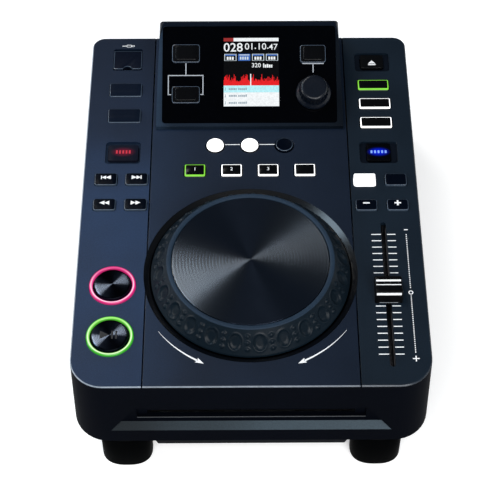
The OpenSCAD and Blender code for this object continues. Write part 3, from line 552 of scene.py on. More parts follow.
def rrect(w, d, r, n=5):
    r = max(0.05, min(r, w / 2 - 0.01, d / 2 - 0.01))
    x, y = w / 2 - r, d / 2 - r
    return (arc(x, -y, r, -90, 0, n) + arc(x, y, r, 0, 90, n)
            + arc(-x, y, r, 90, 180, n) + arc(-x, -y, r, 180, 270, n))


def loft(rings, caps=(True, True)):
    n = len(rings[0])
    verts = [p for r in rings for p in r]
    faces = []
    for k in range(len(rings) - 1):
        for i in range(n):
            a, b = k * n + i, k * n + (i + 1) % n
            faces.append((a, b, b + n, a + n))
    if caps[0]:
        faces.append(tuple(reversed(range(n))))
    if caps[1]:
        k = (len(rings) - 1) * n
        faces.append(tuple(range(k, k + n)))
    return verts, faces


def tube_loft(rings):
    """Rings joined first to last as well, for a closed hollow band."""
    n, m = len(rings[0]), len(rings)
    verts = [p for r in rings for p in r]
    faces = []
    for k in range(m):
        for i in range(n):
            a, b = k * n + i, k * n + (i + 1) % n
            c, d = ((k + 1) % m) * n + (i + 1) % n, ((k + 1) % m) * n + i
            faces.append((a, b, c, d))
    return verts, faces


def flat(ring, z):
    return [(x, y, z) for x, y in ring]


def prism(poly, z0, z1):
    """Closed prism over one flat outline, counter-clockwise seen from above."""
    a = sum(poly[i][0] * poly[(i + 1) % len(poly)][1] - poly[(i + 1) % len(poly)][0] * poly[i][1]
            for i in range(len(poly)))
    if a < 0:
        poly = poly[::-1]
    return loft([flat(poly, z0), flat(poly, z1)])


def circle(cx, cy, r, n=48):
    return [(cx + r * math.cos(2 * math.pi * i / n), cy + r * math.sin(2 * math.pi * i / n))
            for i in range(n)]


def lathe(profile, cx=0.0, cy=0.0, n=96, caps=(True, True)):
    """Profile of (radius, z), from below up the outside to the middle of the top."""
    return loft([[(cx + max(r, 0.02) * math.cos(2 * math.pi * i / n),
                   cy + max(r, 0.02) * math.sin(2 * math.pi * i / n), z) for i in range(n)]
                 for r, z in profile], caps)


def lathe_band(profile, cx=0.0, cy=0.0, n=96):
    return tube_loft([[(cx + r * math.cos(2 * math.pi * i / n),
                        cy + r * math.sin(2 * math.pi * i / n), z) for i in range(n)]
                      for r, z in profile])


def band(w, d, r, t, z0, z1, n=5, edge=0.12):
    """A raised frame: outer size w by d, t wide, with softened edges."""
    o, i = rrect(w, d, r, n), rrect(w - 2 * t, d - 2 * t, r - t, n)
    o2, i2 = rrect(w - 2 * edge, d - 2 * edge, r - edge, n), rrect(w - 2 * t + 2 * edge, d - 2 * t + 2 * edge, r - t + edge, n)
    return tube_loft([flat(o, z0), flat(o, z1 - edge), flat(o2, z1), flat(i2, z1), flat(i, z1 - edge), flat(i, z0)])


def stroke(pts, width, z0, z1):
    """A printed line of one width, or of a width per point."""
    ws = width if isinstance(width, (list, tuple)) else [width] * len(pts)
    left, right = [], []
    for i, p in enumerate(pts):
        a, b = pts[max(0, i - 1)], pts[min(len(pts) - 1, i + 1)]
        dx, dy = b[0] - a[0], b[1] - a[1]
        k = math.hypot(dx, dy) or 1.0
        nx, ny = -dy / k * ws[i] / 2, dx / k * ws[i] / 2
        left.append((p[0] + nx, p[1] + ny))
        right.append((p[0] - nx, p[1] - ny))
    verts = flat(right, z0) + flat(left, z0) + flat(right, z1) + flat(left, z1)
    n = len(pts)
    faces = []
    for i in range(n - 1):
        faces += [(i + 2 * n, i + 1 + 2 * n, i + 1 + 3 * n, i + 3 * n), (i, i + n, i + 1 + n, i + 1),
                  (i, i + 1, i + 1 + 2 * n, i + 2 * n), (i + 1 + n, i + n, i + 3 * n, i + 1 + 3 * n)]
    faces += [(0, 2 * n, 3 * n, n), (n - 1, 2 * n - 1, 4 * n - 1, 3 * n - 1)]
    return verts, faces


def glyphs(text, size, z0, z1, bold=0.0, align="CENTER"):
    """Plain figures as closed meshes, size in millimetres."""
    cu = bpy.data.curves.new("figures", "FONT")
    cu.body, cu.size, cu.offset, cu.align_x, cu.align_y = text, size, bold, align, "CENTER"
    cu.resolution_u, cu.extrude = 3, (z1 - z0) / 2
    o = bpy.data.objects.new("figures", cu)
    bpy.context.scene.collection.objects.link(o)
    bpy.context.view_layer.update()
    me = o.evaluated_get(bpy.context.evaluated_depsgraph_get()).to_mesh()
    verts = [(v.co.x, v.co.y, v.co.z + (z0 + z1) / 2) for v in me.vertices]
    faces = [tuple(p.vertices) for p in me.polygons]
    bpy.data.objects.remove(o)
    bpy.data.curves.remove(cu)
    return verts, faces


def cap_rings(w, d, r, foot, top, edge=0.5, slope=0.25, crown=0.0, dish=0.0, n=5, front=0.0):
    """Rings of a moulded keycap: flange, drafted sides, rounded edge, crowned or dished top."""
    def ring(inset, z, k=1.0):
        pts = rrect(w - 2 * inset, d - 2 * inset, r - inset, n)
        return [(x, y, z - crown * (y / (d / 2)) ** 2 * k - (front * max(0.0, -y / (d / 2)) ** 1.5) * k)
                for x, y in pts]
    rings = [flat(rrect(w + 2.4, d + 2.4, r, n), foot - 1.2), flat(rrect(w + 2.4, d + 2.4, r, n), foot),
             flat(rrect(w, d, r, n), foot + 0.02), flat(rrect(w, d, r, n), 0.1)]
    rings.append(ring(slope, top - edge, 0.9))
    for a in (30, 60, 90):
        rings.append(ring(slope + edge * (1 - math.cos(math.radians(a))), top - edge + edge * math.sin(math.radians(a))))
    m = min(w, d) / 2
    for t in (0.25, 0.5, 0.75, 0.93):
        rings.append(ring(slope + edge + (m - slope - edge) * t, top - dish * (1 - (1 - t) ** 2)))
    return rings


# ------------------------------------------------------------------ keys

def pillow(w, d, r, z0, top, edge=0.3, front=0.0, part=0.42):
    """Moulded block in sections from front to back: rounded plan corners and top edges, front slope."""
    rows = []
    for i in range(6):
        a = math.radians(-90 + 18 * i)
        rows.append((-d / 2 + r + r * math.sin(a), w / 2 - r + r * math.cos(a)))
    for i in range(1, 12):
        rows.append((-d / 2 + r + (d - 2 * r) * i / 12, w / 2))
    for i in range(6):
        a = math.radians(18 * i)
        rows.append((d / 2 - r + r * math.sin(a), w / 2 - r + r * math.cos(a)))
    # extra sections where the top rounds off at both ends
    ends = [(s * (d / 2 - edge * k), None) for s in (-1, 1) for k in (0.08, 0.3, 0.6, 1.0)]
    for y, _ in ends:
        q = d / 2 - abs(y)
        hw = w / 2 if q >= r else w / 2 - r + math.sqrt(max(0.0, r * r - (r - q) ** 2))
        rows.append((y, hw))
    rows = sorted(set((round(y, 4), round(h, 4)) for y, h in rows))
    rings = []
    for y, hw in rows:
        q = d / 2 - abs(y)
        drop = edge - math.sqrt(max(0.0, edge * edge - (edge - q) ** 2)) if q < edge else 0.0
        t = max(0.0, min(1.0, 1 - (y + d / 2) / (part * d)))
        base = top - front * t ** 1.5
        zt = base - drop
        e = max(0.03, edge - drop)
        side = [(hw - e + e * math.cos(math.radians(a)), zt - e + e * math.sin(math.radians(a))) for a in (0, 30, 60, 90)]
        ring = [(-hw, y, z0)] + [(-x, y, z) for x, z in side]
        ring += [(hw * k * (1 - e / hw), y, zt) for k in (-0.6, -0.2, 0.2, 0.6)]
        ring += [(x, y, z) for x, z in reversed(side)] + [(hw, y, z0)]
        rings.append(ring)
    return loft(rings)


def deck_key(name, x, y, w, d, mat, rise=1.4, r=1.6, front=0.0, icon=None, icon_mat="ink",
             body=None, edge=0.3):
    b = Build()
    v, f = loft([flat(rrect(w + 2.4, d + 2.4, r), -5.2), flat(rrect(w + 2.4, d + 2.4, r), -4.0)])
    b.add(v, f, 0, deck(x, y))
    mats = [M[mat], M[icon_mat], M["key_line"]]
    if mat in ("key", "key_soft"):
        # painted highlight: the outer pillow, a little lower than the top, carries the lighter edge colour so a thin
        # bright outline shows round the key
        v, f = pillow(w - 0.1, d - 0.1, r, -4.0, rise - 0.16, edge, front)
        b.add(v, f, 2, deck(x, y))
        v, f = pillow(w - 0.8, d - 0.75, r - 0.25, -0.9, rise, edge, front)
        b.add(v, f, 0, deck(x, y + 0.05))
    else:
        v, f = pillow(w - 0.1, d - 0.1, r, -4.0, rise, edge, front)
        b.add(v, f, 0, deck(x, y))
    if icon:
        for v, f in icon:
            b.add(v, f, 1, deck(x, y, rise))
    return b.done(name + "_cap", mats, body or name.replace("_button", ""), 40, (name,))


def framed_key(name, x, y, w, d, lit_mat, figure=None, rise=0.7):
    """Translucent lit cap with a black inlay on top."""
    b = Build()
    rings = [flat(rrect(w + 2.4, d + 2.4, 1.3), -5.2), flat(rrect(w + 2.4, d + 2.4, 1.3), -4.0), flat(rrect(w, d, 1.3), -3.98),
             flat(rrect(w, d, 1.3), -0.7), flat(rrect(w - 0.8, d - 0.9, 0.9), -0.3), flat(rrect(w - 0.85, d - 0.95, 0.9), rise - 0.2),
             flat(rrect(w - 0.95, d - 1.05, 0.8), rise - 0.08), flat(rrect(w - 1.15, d - 1.25, 0.7), rise)]
    v, f = loft(rings)
    n = len(rings[0])
    b.add(v, f, [1 if i < 4 * n else 0 for i in range(len(f) - 2)] + [1, 0], deck(x, y))
    iw, idp = w - 2.15, d - 2.25
    o = rrect(iw, idp, 0.7, 5)
    o2 = rrect(iw - 0.3, idp - 0.3, 0.6, 5)
    v, f = loft([flat(o, rise - 0.3), flat(o, rise + 0.12), flat(o2, rise + 0.2)])
    b.add(v, f, 1, deck(x, y + 0.1))
    if figure:
        v, f = glyphs(figure, 3.7, rise + 0.2, rise + 0.26, 0.0)
        b.add(v, f, 2, deck(x, y + 0.5))
    return b.done(name + "_cap", [M[lit_mat], M["key_top"], M["ink"]], name.replace("_button", ""), 40, (name,))


def tri(cx, cy, w, h, way=1):
    return [(cx - way * w / 2, cy - h / 2), (cx + way * w / 2, cy), (cx - way * w / 2, cy + h / 2)]


def skip_icon(way, bar, k=1.0):
    """Two triangles, with a bar each side for track steps."""
    z0, z1 = -0.05, 0.07
    out = [prism(tri(-1.35 * k, 0, 2.9 * k, 2.9 * k, way), z0, z1), prism(tri(1.35 * k, 0, 2.9 * k, 2.9 * k, way), z0, z1)]
    if bar:
        out.append(prism([(way * 2.85 * k - 0.3, -1.45 * k), (way * 2.85 * k + 0.3, -1.45 * k),
                          (way * 2.85 * k + 0.3, 1.45 * k), (way * 2.85 * k - 0.3, 1.45 * k)], z0, z1))
        out.append(prism([(-way * 2.95 * k - 0.3, -1.45 * k), (-way * 2.95 * k + 0.3, -1.45 * k),
                          (-way * 2.95 * k + 0.3, 1.45 * k), (-way * 2.95 * k - 0.3, 1.45 * k)], z0, z1))
    return out


def lift(shapes, dx=0.0, dy=0.0, dz=0.0):
    return [([(p[0] + dx, p[1] + dy, p[2] + dz) for p in v], f) for v, f in shapes]


def make_keys():
    deck_key("source_button", -82.7, 88.9, 21.4, 11, "key_soft", front=1.3, r=1.0)
    deck_key("playlist_button", -82.7, 65.9, 21.4, 11.2, "key_soft", front=1.3, r=1.0)
    for n, x, way in (("track_back_button", -92.3, -1), ("track_forward_button", -72.6, 1)):
        deck_key(n, x, 11.5, 14.4, 9.5, "key", front=0.25, icon=lift(skip_icon(way, True), 0, 1.1, -0.03))
    for n, x, way in (("search_back_button", -92.3, -1), ("search_forward_button", -72.5, 1)):
        deck_key(n, x, -9.2, 14.2, 9, "key", front=0.25, icon=lift(skip_icon(way, False, 1.12), 0, 1.0, -0.03))
    plus = [prism([(-2.1, -0.5), (2.1, -0.5), (2.1, 0.5), (-2.1, 0.5)], -0.05, 0.07)]
    up = [prism([(-0.55, -2.0), (0.55, -2.0), (0.55, 2.0), (-0.55, 2.0)], -0.05, 0.075)]
    deck_key("beat_minus_button", 73.6, -10.5, 13.6, 8.5, "key", front=0.25, icon=lift(plus, 0, 1.2, -0.03))
    deck_key("beat_plus_button", 93.4, -10.5, 13.6, 8.5, "key", front=0.25, icon=lift(plus + up, 0, 1.2, -0.03))
    deck_key("beat_sync_button", 73.5, 10.2, 13.8, 9.4, "white_lit", r=0.9, edge=0.3)
    deck_key("tempo_reset_button", 93.4, 10.2, 13.8, 9.4, "key", front=0.25)
    framed_key("tempo_range_button", 83.2, 92.9, 21.2, 9.2, "green_lit")
    framed_key("key_lock_button", 83.4, 76.2, 21.4, 9.4, "white_lit")
    framed_key("jog_mode_button", 83.4, 59.4, 21.4, 9.6, "white_lit")
    for i, (n, x) in enumerate((("hot_cue_1_button", -35.4), ("hot_cue_2_button", -11.8), ("hot_cue_3_button", 11.8))):
        framed_key(n, x, 19, 13.9, 10.1, "green_lit" if i == 0 else "white_lit", str(i + 1))
    framed_key("hot_cue_store_button", 35.4, 19, 13.9, 10.1, "white_lit")
    # sunk keys
    eject = [prism([(-2.5, -0.2), (2.5, -0.2), (0, 2.6)], -0.05, 0.07),
             prism([(-2.5, -1.7), (2.5, -1.7), (2.5, -0.75), (-2.5, -0.75)], -0.05, 0.07)]
    deck_key("eject_button", 83.3, 114.4, 15.5, 11.9, "key_top", rise=0.3, r=1.2, icon=lift(eject, 0, -1.6), edge=0.15)
    bars = [prism([(x - 0.55, -1.3), (x + 0.55, -1.3), (x + 0.55, 1.5), (x - 0.55, 1.5)], -0.05, 0.06)
            for x in (-4.2, -2.1, 0, 2.1, 4.2)]
    deck_key("usb_stop_button", -82.2, 34.2, 19.5, 13.1, "key_red", rise=0.2, r=1.2,
             icon=lift(bars, 0, 0.6), icon_mat="red_lit", edge=0.15)
    dots = [prism(rrect(1.25, 2.3, 0.3, 3), -0.05, 0.07) for _ in range(5)]
    icon = []
    for i, shape in enumerate(dots):
        icon += lift([shape], -4.6 + 2.3 * i, 0.1)
    deck_key("touch_mode_button", 83.7, 34, 15.5, 14.6, "key_blue", rise=0.2, r=1.2, icon=icon, icon_mat="blue_pale", edge=0.15)
    # round loop keys
    for i, (n, x) in enumerate((("loop_in_button", -22.5), ("loop_out_button", 0), ("reloop_button", 22.5))):
        top = 1.0
        prof = [(7.3, -5.2), (7.3, -4.0), (5.6, -3.98), (5.6, -0.6), (5.6, 0.05), (5.5, top - 0.35), (5.36, top - 0.12), (5.1, top)]
        prof += [(4.2, top - 0.10 if i == 2 else top + 0.08), (2.4, top - 0.28 if i == 2 else top + 0.16), (0.02, top - 0.35 if i == 2 else top + 0.2)]
        v, f = lathe(prof, 0, 0, 56)
        # painted highlight: on the reloop key the rounded top edge carries the lighter edge colour
        if i == 2:
            mat = [1 if 5 * 56 <= k < 7 * 56 else 0 for k in range(len(f))]
        else:
            mat = [2 if k < 4 * 56 else 0 for k in range(len(f) - 2)] + [2, 0]
        Build().add(v, f, mat, deck(x, 40.2)).done(n + "_cap", [M["white_lit"] if i < 2 else M["key"], M["key_line"], M["key_top"]],
                                              n.replace("_button", ""), 40, (n,))


def make_round_keys():
    for n, x, y in (("cue", -84.3, -71.7), ("play", -84.2, -109.0)):
        b = Build()
        prof = [(12.75, -6.0), (12.75, -4.8), (11.15, -4.78), (11.15, 0.9), (11.0, 1.35), (10.75, 1.62)]
        k = len(prof)
        prof += [(10.3, 1.75), (9.7, 1.77), (7.5, 1.765), (5.0, 1.76), (2.5, 1.757), (0.02, 1.755)]
        v, f = lathe(prof, 0, 0, 96)
        mat = [0 if (i // 96) < k - 1 else 1 for i in range(len(f) - 2)] + [0, 1]
        b.add(v, f, mat, deck(x, y))
        # symbol pressed into the cap
        if n == "play":
            for poly in (tri(-3.1, 0.1, 5.4, 5.8, 1),
                         [(1.0, -2.7), (2.1, -2.7), (2.1, 2.9), (1.0, 2.9)],
                         [(3.4, -2.7), (4.5, -2.7), (4.5, 2.9), (3.4, 2.9)]):
                v, f = prism(poly, 1.5, 1.80)
                b.add(v, f, 2, deck(x, y))
        # painted highlight: each cap's colour carries two narrow bright fans at 24 degrees and is darkened between them
        sm = spun("spun_" + n, (0.080, 0.098, 0.132), 0.19, 0.90, (x, y, DZ), 0.9, 0.02, 0.7, False,
                  (24, 0.84, (0.04, 0.046, 0.06)))
        b.done(n + "_button_cap", [M["key"], sm, M["ink_dark"]], n, 40, (n + "_button",))
    # light rings in one piece, as the node is
    b = Build()
    for x, y, o in ((-84.3, -71.7, 0), (-84.2, -109.0, 1)):
        prof = [(11.5, -4.5), (15.6, -4.5), (15.6, -3.0), (14.2, -3.0), (14.2, 0.3), (14.12, 0.62), (13.9, 0.92),
                (13.5, 1.15), (13.1, 1.22), (12.7, 1.15), (12.35, 0.9), (12.2, 0.5), (12.1, -0.6), (11.5, -0.6)]
        v, f = lathe_band(prof, 0, 0, 96)
        b.add(v, f, [2 if (i // 96) in (0, 1, 2, 12, 13) else o for i in range(len(f))], deck(x, y))
    b.done("button_light_rings_lens", [M["glow_cue"], M["glow_play"], M["key"]],
           "case", 50, ("button_light_rings",))


# ------------------------------------------------------------------ jog wheel

def make_jog():
    # spun disc, very slightly domed
    prof = [(47.8, -4.0), (47.8, -0.60), (47.72, -0.49), (47.60, -0.452), (47.52, -0.4425), (47.4, -0.4405)]
    for i in range(0, 24):
        r = 47.2 * (1 - i / 24.0)
        prof.append((r, -0.02 - 0.42 * (r / 47.35) ** 1.05))
    prof.append((0.02, -0.02))
    v, f = lathe(prof, JX, JY, 144)
    Build().add(v, f, 0, lambda p: (p[0], p[1], p[2] + JZ)).done("jog_top_disc_spun", [M["disc"]], "jog_wheel", 30, ("jog_top_disc",))
    # glossy sloping lip of the well round the wheel
    v, f = lathe_band([(65.62, -13.55), (62.3, -15.25), (62.3, -15.9), (65.62, -15.9)], JX, JY, 144)
    Build().add(v, f, 0, lambda p: (p[0], p[1], p[2] + JZ)).done("well_lip", [M["lip"]], "case", 50)
    # slate ring with rounded edges
    prof = [(48.2, -4.0), (51.3, -4.0), (51.3, -0.75), (51.15, -0.35), (50.8, -0.08), (50.3, 0.0),
            (49.2, 0.0), (48.7, -0.08), (48.35, -0.35), (48.2, -0.8)]
    v, f = lathe_band(prof, JX, JY, 144)
    Build().add(v, f, 0, lambda p: (p[0], p[1], p[2] + JZ)).done("jog_ring_trim", [M["ring"]], "jog_wheel", 50, ("jog_ring",))
    # rubber rim: oval dimples with a raised lip, and columns of three studs between them
    n, m = 720, 40
    p0, p1 = (51.32, -0.62), (61.2, -13.8)
    length = math.hypot(p1[0] - p0[0], p1[1] - p0[1])
    dr, dzz = (p1[0] - p0[0]) / length, (p1[1] - p0[1]) / length
    nr, nz = -dzz, dr
    rings = []

    def height(th, s):
        step = 2 * math.pi / 24
        k = (th - math.radians(5.3)) / step
        a = (k - round(k)) * step * (51.3 + s * dr)
        q = math.hypot(a / 4.05, (s - length * 0.50) / 5.3)
        h = 0.0
        if q < 1.0:
            h = -1.15 * (1 - max(0.0, (q - 0.45) / 0.55) ** 2) if q > 0.45 else -1.15
        h += 0.26 * math.exp(-((q - 1.06) / 0.09) ** 2)
        ka = k - 0.5
        a2 = (ka - round(ka)) * step * (51.3 + s * dr)
        for s0 in (length * 0.25, length * 0.50, length * 0.75):
            e = math.hypot(a2, s - s0) / 1.4
            if e < 1:
                h += 0.85 * math.sqrt(1 - e * e)
        fade = min(1.0, s / 0.9, (length - s) / 0.9)
        return h * max(0.0, fade)

    rows = [(50.5, -4.0), (50.5, -6.4), (52.5, -6.4), (59.2, -15.2), (61.2, -15.2)]
    for r, z in rows:
        rings.append([(r * math.cos(2 * math.pi * i / n), r * math.sin(2 * math.pi * i / n), z) for i in range(n)])
    for j in range(m, -1, -1):
        s = length * j / m
        ring = []
        for i in range(n):
            th = 2 * math.pi * i / n
            h = height(th, s)
            r, z = p0[0] + dr * s + nr * h, p0[1] + dzz * s + nz * h
            ring.append((r * math.cos(th), r * math.sin(th), z))
        rings.append(ring)
    rings.append([(51.3 * math.cos(2 * math.pi * i / n), 51.3 * math.sin(2 * math.pi * i / n), -4.0) for i in range(n)])
    v, f = tube_loft(rings)
    Build().add(v, f, 0, lambda p: (p[0] + JX, p[1] + JY, p[2] + JZ)).done(
        "jog_rim_grip", [M["rim"]], "jog_wheel", 60, ("jog_rim",))


# ------------------------------------------------------------------ fader, knob, cover, feet

def make_fader():
    b = Build()
    prof = [(-8.5, 0.4), (8.5, 0.4), (8.5, 1.5), (8.1, 2.6), (6.5, 7.2), (6.1, 8.0), (5.4, 8.45), (4.5, 8.5), (3.6, 8.35),
            (2.2, 7.85), (0, 7.65), (-2.2, 7.85), (-3.6, 8.35), (-4.5, 8.5), (-5.4, 8.45), (-6.1, 8.0), (-6.5, 7.2),
            (-8.1, 2.6), (-8.5, 1.5)]

    def section(x, k):
        return [(x, y * (1 - 0.05 * (1 - k)), 0.4 + (z - 0.4) * (1 - 0.09 * (1 - k))) for y, z in prof]
    rings = [section(-8.3, 0), section(-8.1, 0.6), section(-7.6, 1)] + [section(x, 1) for x in (-5, -2.5, 0, 2.5, 5)]
    rings += [section(7.6, 1), section(8.1, 0.6), section(8.3, 0)]
    v, f = loft(rings)
    b.add(v, f, 0, deck(FADER_X, FADER_Y))
    v, f = loft([flat(rrect(1.2, 6, 0.2), -11), flat(rrect(1.2, 6, 0.2), 0.5)])
    b.add(v, f, 0, deck(FADER_X, FADER_Y))
    # printed index lines, front and back

    def line(y0, z0, y1, z1, x=7.5):
        ny, nz = -(z1 - z0), (y1 - y0)
        k = math.hypot(ny, nz)
        ny, nz = ny / k * 0.06, nz / k * 0.06
        if nz < 0:
            ny, nz = -ny, -nz
        vs = [(-x, y0, z0), (x, y0, z0), (x, y1, z1), (-x, y1, z1)]
        vs += [(p[0], p[1] + ny, p[2] + nz) for p in vs]
        return vs, [(3, 2, 1, 0), (4, 5, 6, 7), (0, 1, 5, 4), (1, 2, 6, 5), (2, 3, 7, 6), (3, 0, 4, 7)]
    for seg, mt in (((-0.30, 7.66, 0.30, 7.66), 1), ((-6.83, 6.25, -6.22, 7.75), 1), ((2.35, 7.90, 3.35, 8.26), 1), ((-8.47, 0.75, -8.47, 1.15), 2)):
        v, f = line(*seg, x=5.6 if mt == 2 else 7.5)
        b.add(v, f, mt, deck(FADER_X, FADER_Y))
    b.done("fader_cap_grip", [M["cap"], M["ink"], M["ink_grey"]], "fader", 30, ("fader_cap",))


def make_knob():
    n = 144
    rows = [(0.02, 0.9, 0), (11.2, 0.9, 0), (11.62, 1.1, 0), (11.7, 1.5, 0), (11.5, 2.0, 0), (10.9, 2.9, 0), (10.2, 3.6, 0),
            (9.75, 4.2, 0), (9.5, 4.9, 1), (9.3, 7.0, 1), (9.1, 9.4, 1), (8.95, 10.5, 0.7), (8.7, 11.1, 0.2), (8.3, 11.6, 0),
            (7.7, 11.9, 0), (6.9, 12.0, 0), (5.0, 11.85, 0), (2.5, 11.72, 0), (0.02, 11.7, 0)]
    rings = []
    for r, z, k in rows:
        ring = []
        for i in range(n):
            a = 2 * math.pi * i / n
            rr = r - 0.35 * k * (0.5 - 0.5 * math.cos(24 * a)) ** 1.5
            ring.append((rr * math.cos(a), rr * math.sin(a), z))
        rings.append(ring)
    v, f = loft(rings)
    Build().add(v, f, 0, pod(ENC[0], ENC[1])).done("encoder_knob_grip", [M["knob"]], "knob", 35, ("encoder_knob",))


def make_cover():
    x, y0, y1 = -82.5, 108.5, 125.1
    pts = [(-9.5 + 1.0, y0)] + [(-3.4, y0)]
    pts += [(3.1 * math.cos(math.radians(a)), y0 - 0.5 + 2.9 * math.sin(math.radians(a))) for a in range(168, 11, -12)]
    pts += [(3.4, y0), (8.5, y0), (9.2, y0 + 0.3), (9.5, y0 + 1.0), (9.5, y1 - 0.2), (9.3, y1), (-9.3, y1), (-9.5, y1 - 0.2), (-9.5, y0 + 1.0), (-9.2, y0 + 0.3)]
    cx, cy = 0.0, (y0 + y1) / 2

    def ring(k, z):
        return [(cx + px * (1 - k / 9.5), cy + (py - cy) * (1 - k / 8.3), z) for px, py in pts]
    b = Build()
    v, f = loft([ring(0, -1.7), ring(0, 0.05), ring(0.12, 0.3), ring(0.42, 0.4)])
    n = len(pts)
    # painted highlight: the rounded top edge of the flap carries the lighter edge colour
    b.add(v, f, [1 if n <= i < 3 * n else 0 for i in range(len(f))], deck(x, 0))
    # hinge barrel and its two pins
    rings = []
    for xx, r in ((-11, 0.38), (-10.9, 0.5), (-9.5, 0.5), (-9.5, 0.9), (-9.4, 1.0), (9.4, 1.0), (9.5, 0.9), (9.5, 0.5), (10.9, 0.5), (11, 0.38)):
        rings.append([(xx, 125.1 + r * math.cos(2 * math.pi * i / 20), -0.9 + r * math.sin(2 * math.pi * i / 20)) for i in range(20)])
    v, f = loft(rings)
    b.add(v, f, 0, deck(x, 0))
    b.done("usb_cover_flap", [M["key_cover"], M["key_line"]], "port_cover", 35, ("usb_cover",))


def make_feet():
    b = Build()
    for x, y in ((-77.6, -133.5), (77.6, -133.5), (-77.6, 122), (77.6, 122)):
        rows = [(1.3, 0.0), (0.6, 0.12), (0.15, 0.5), (0.0, 1.1), (0.0, 28.6), (0.25, 29.1), (0.25, 30.0), (0.0, 30.4), (0.0, 31.0)]
        rings = []
        for inset, z in rows:
            ring = []
            for i in range(72):
                a = 2 * math.pi * i / 72
                ca, sa = math.cos(a), math.sin(a)
                ring.append((x + (15.75 - inset) * math.copysign(abs(ca) ** 0.8, ca),
                             y + (12.5 - inset) * math.copysign(abs(sa) ** 0.8, sa), z))
            rings.append(ring)
        v, f = loft(rings)
        b.add(v, f, 0)
    b.done("feet_moulded", [M["rubber"]], "case", 40, ("feet",))


def make_rocker():
    b = Build()
    prof = [(-2, -8.2), (2.2, -9), (2.75, -8.6), (3.45, -4.5), (3.75, -1.5), (3.9, 0), (3.75, 1.5), (3.45, 4.5), (2.75, 8.6), (2.2, 9), (-2, 8.2), (-3, 0)]
    c, s = math.cos(math.radians(-9)), math.sin(math.radians(-9))

    def put(p):
        y, z = p[1] * c - p[2] * s, p[1] * s + p[2] * c
        return (p[0] + 42, y + 133.2, z + 60)
    rings = []
    for x, k in ((-6.2, 0.94), (-6.0, 0.98), (-5.6, 1.0), (0, 1.0), (5.6, 1.0), (6.0, 0.98), (6.2, 0.94)):
        rings.append([(x, y * k, z * k) for y, z in prof])
    v, f = loft(rings)
    b.add(v, f, 0, put)
    rings = [[(x, r * math.cos(2 * math.pi * i / 20), r * math.sin(2 * math.pi * i / 20)) for i in range(20)]
             for x, r in ((-8, 0.85), (-7.9, 1.0), (7.9, 1.0), (8, 0.85))]
    v, f = loft(rings)
    b.add(v, f, 0, put)

    def face(y0, z0, y1, z1, x0, x1):
        vs = [(x0, y0, z0), (x1, y0, z0), (x1, y1, z1), (x0, y1, z1)]
        vs += [(p[0], p[1] + 0.08, p[2]) for p in vs]
        return vs, [(0, 1, 2, 3), (7, 6, 5, 4), (4, 5, 1, 0), (5, 6, 2, 1), (6, 7, 3, 2), (7, 4, 0, 3)]
    v, f = face(3.2, 5.9, 3.55, 3.4, -0.35, 0.35)
    b.add(v, f, 1, put)
    rings = [[(r * math.cos(2 * math.pi * i / 28), y, -4.8 + r * math.sin(2 * math.pi * i / 28)) for i in range(28)]
             for r, y in ((1.5, 3.2), (1.5, 3.5), (1.1, 3.5), (1.1, 3.2))]
    v, f = tube_loft(rings)
    b.add(v, f, 1, put)
    b.done("power_rocker_cap", [M["socket"], M["ink"]], "rocker", 35, ("power_rocker",))


# ------------------------------------------------------------------ pod

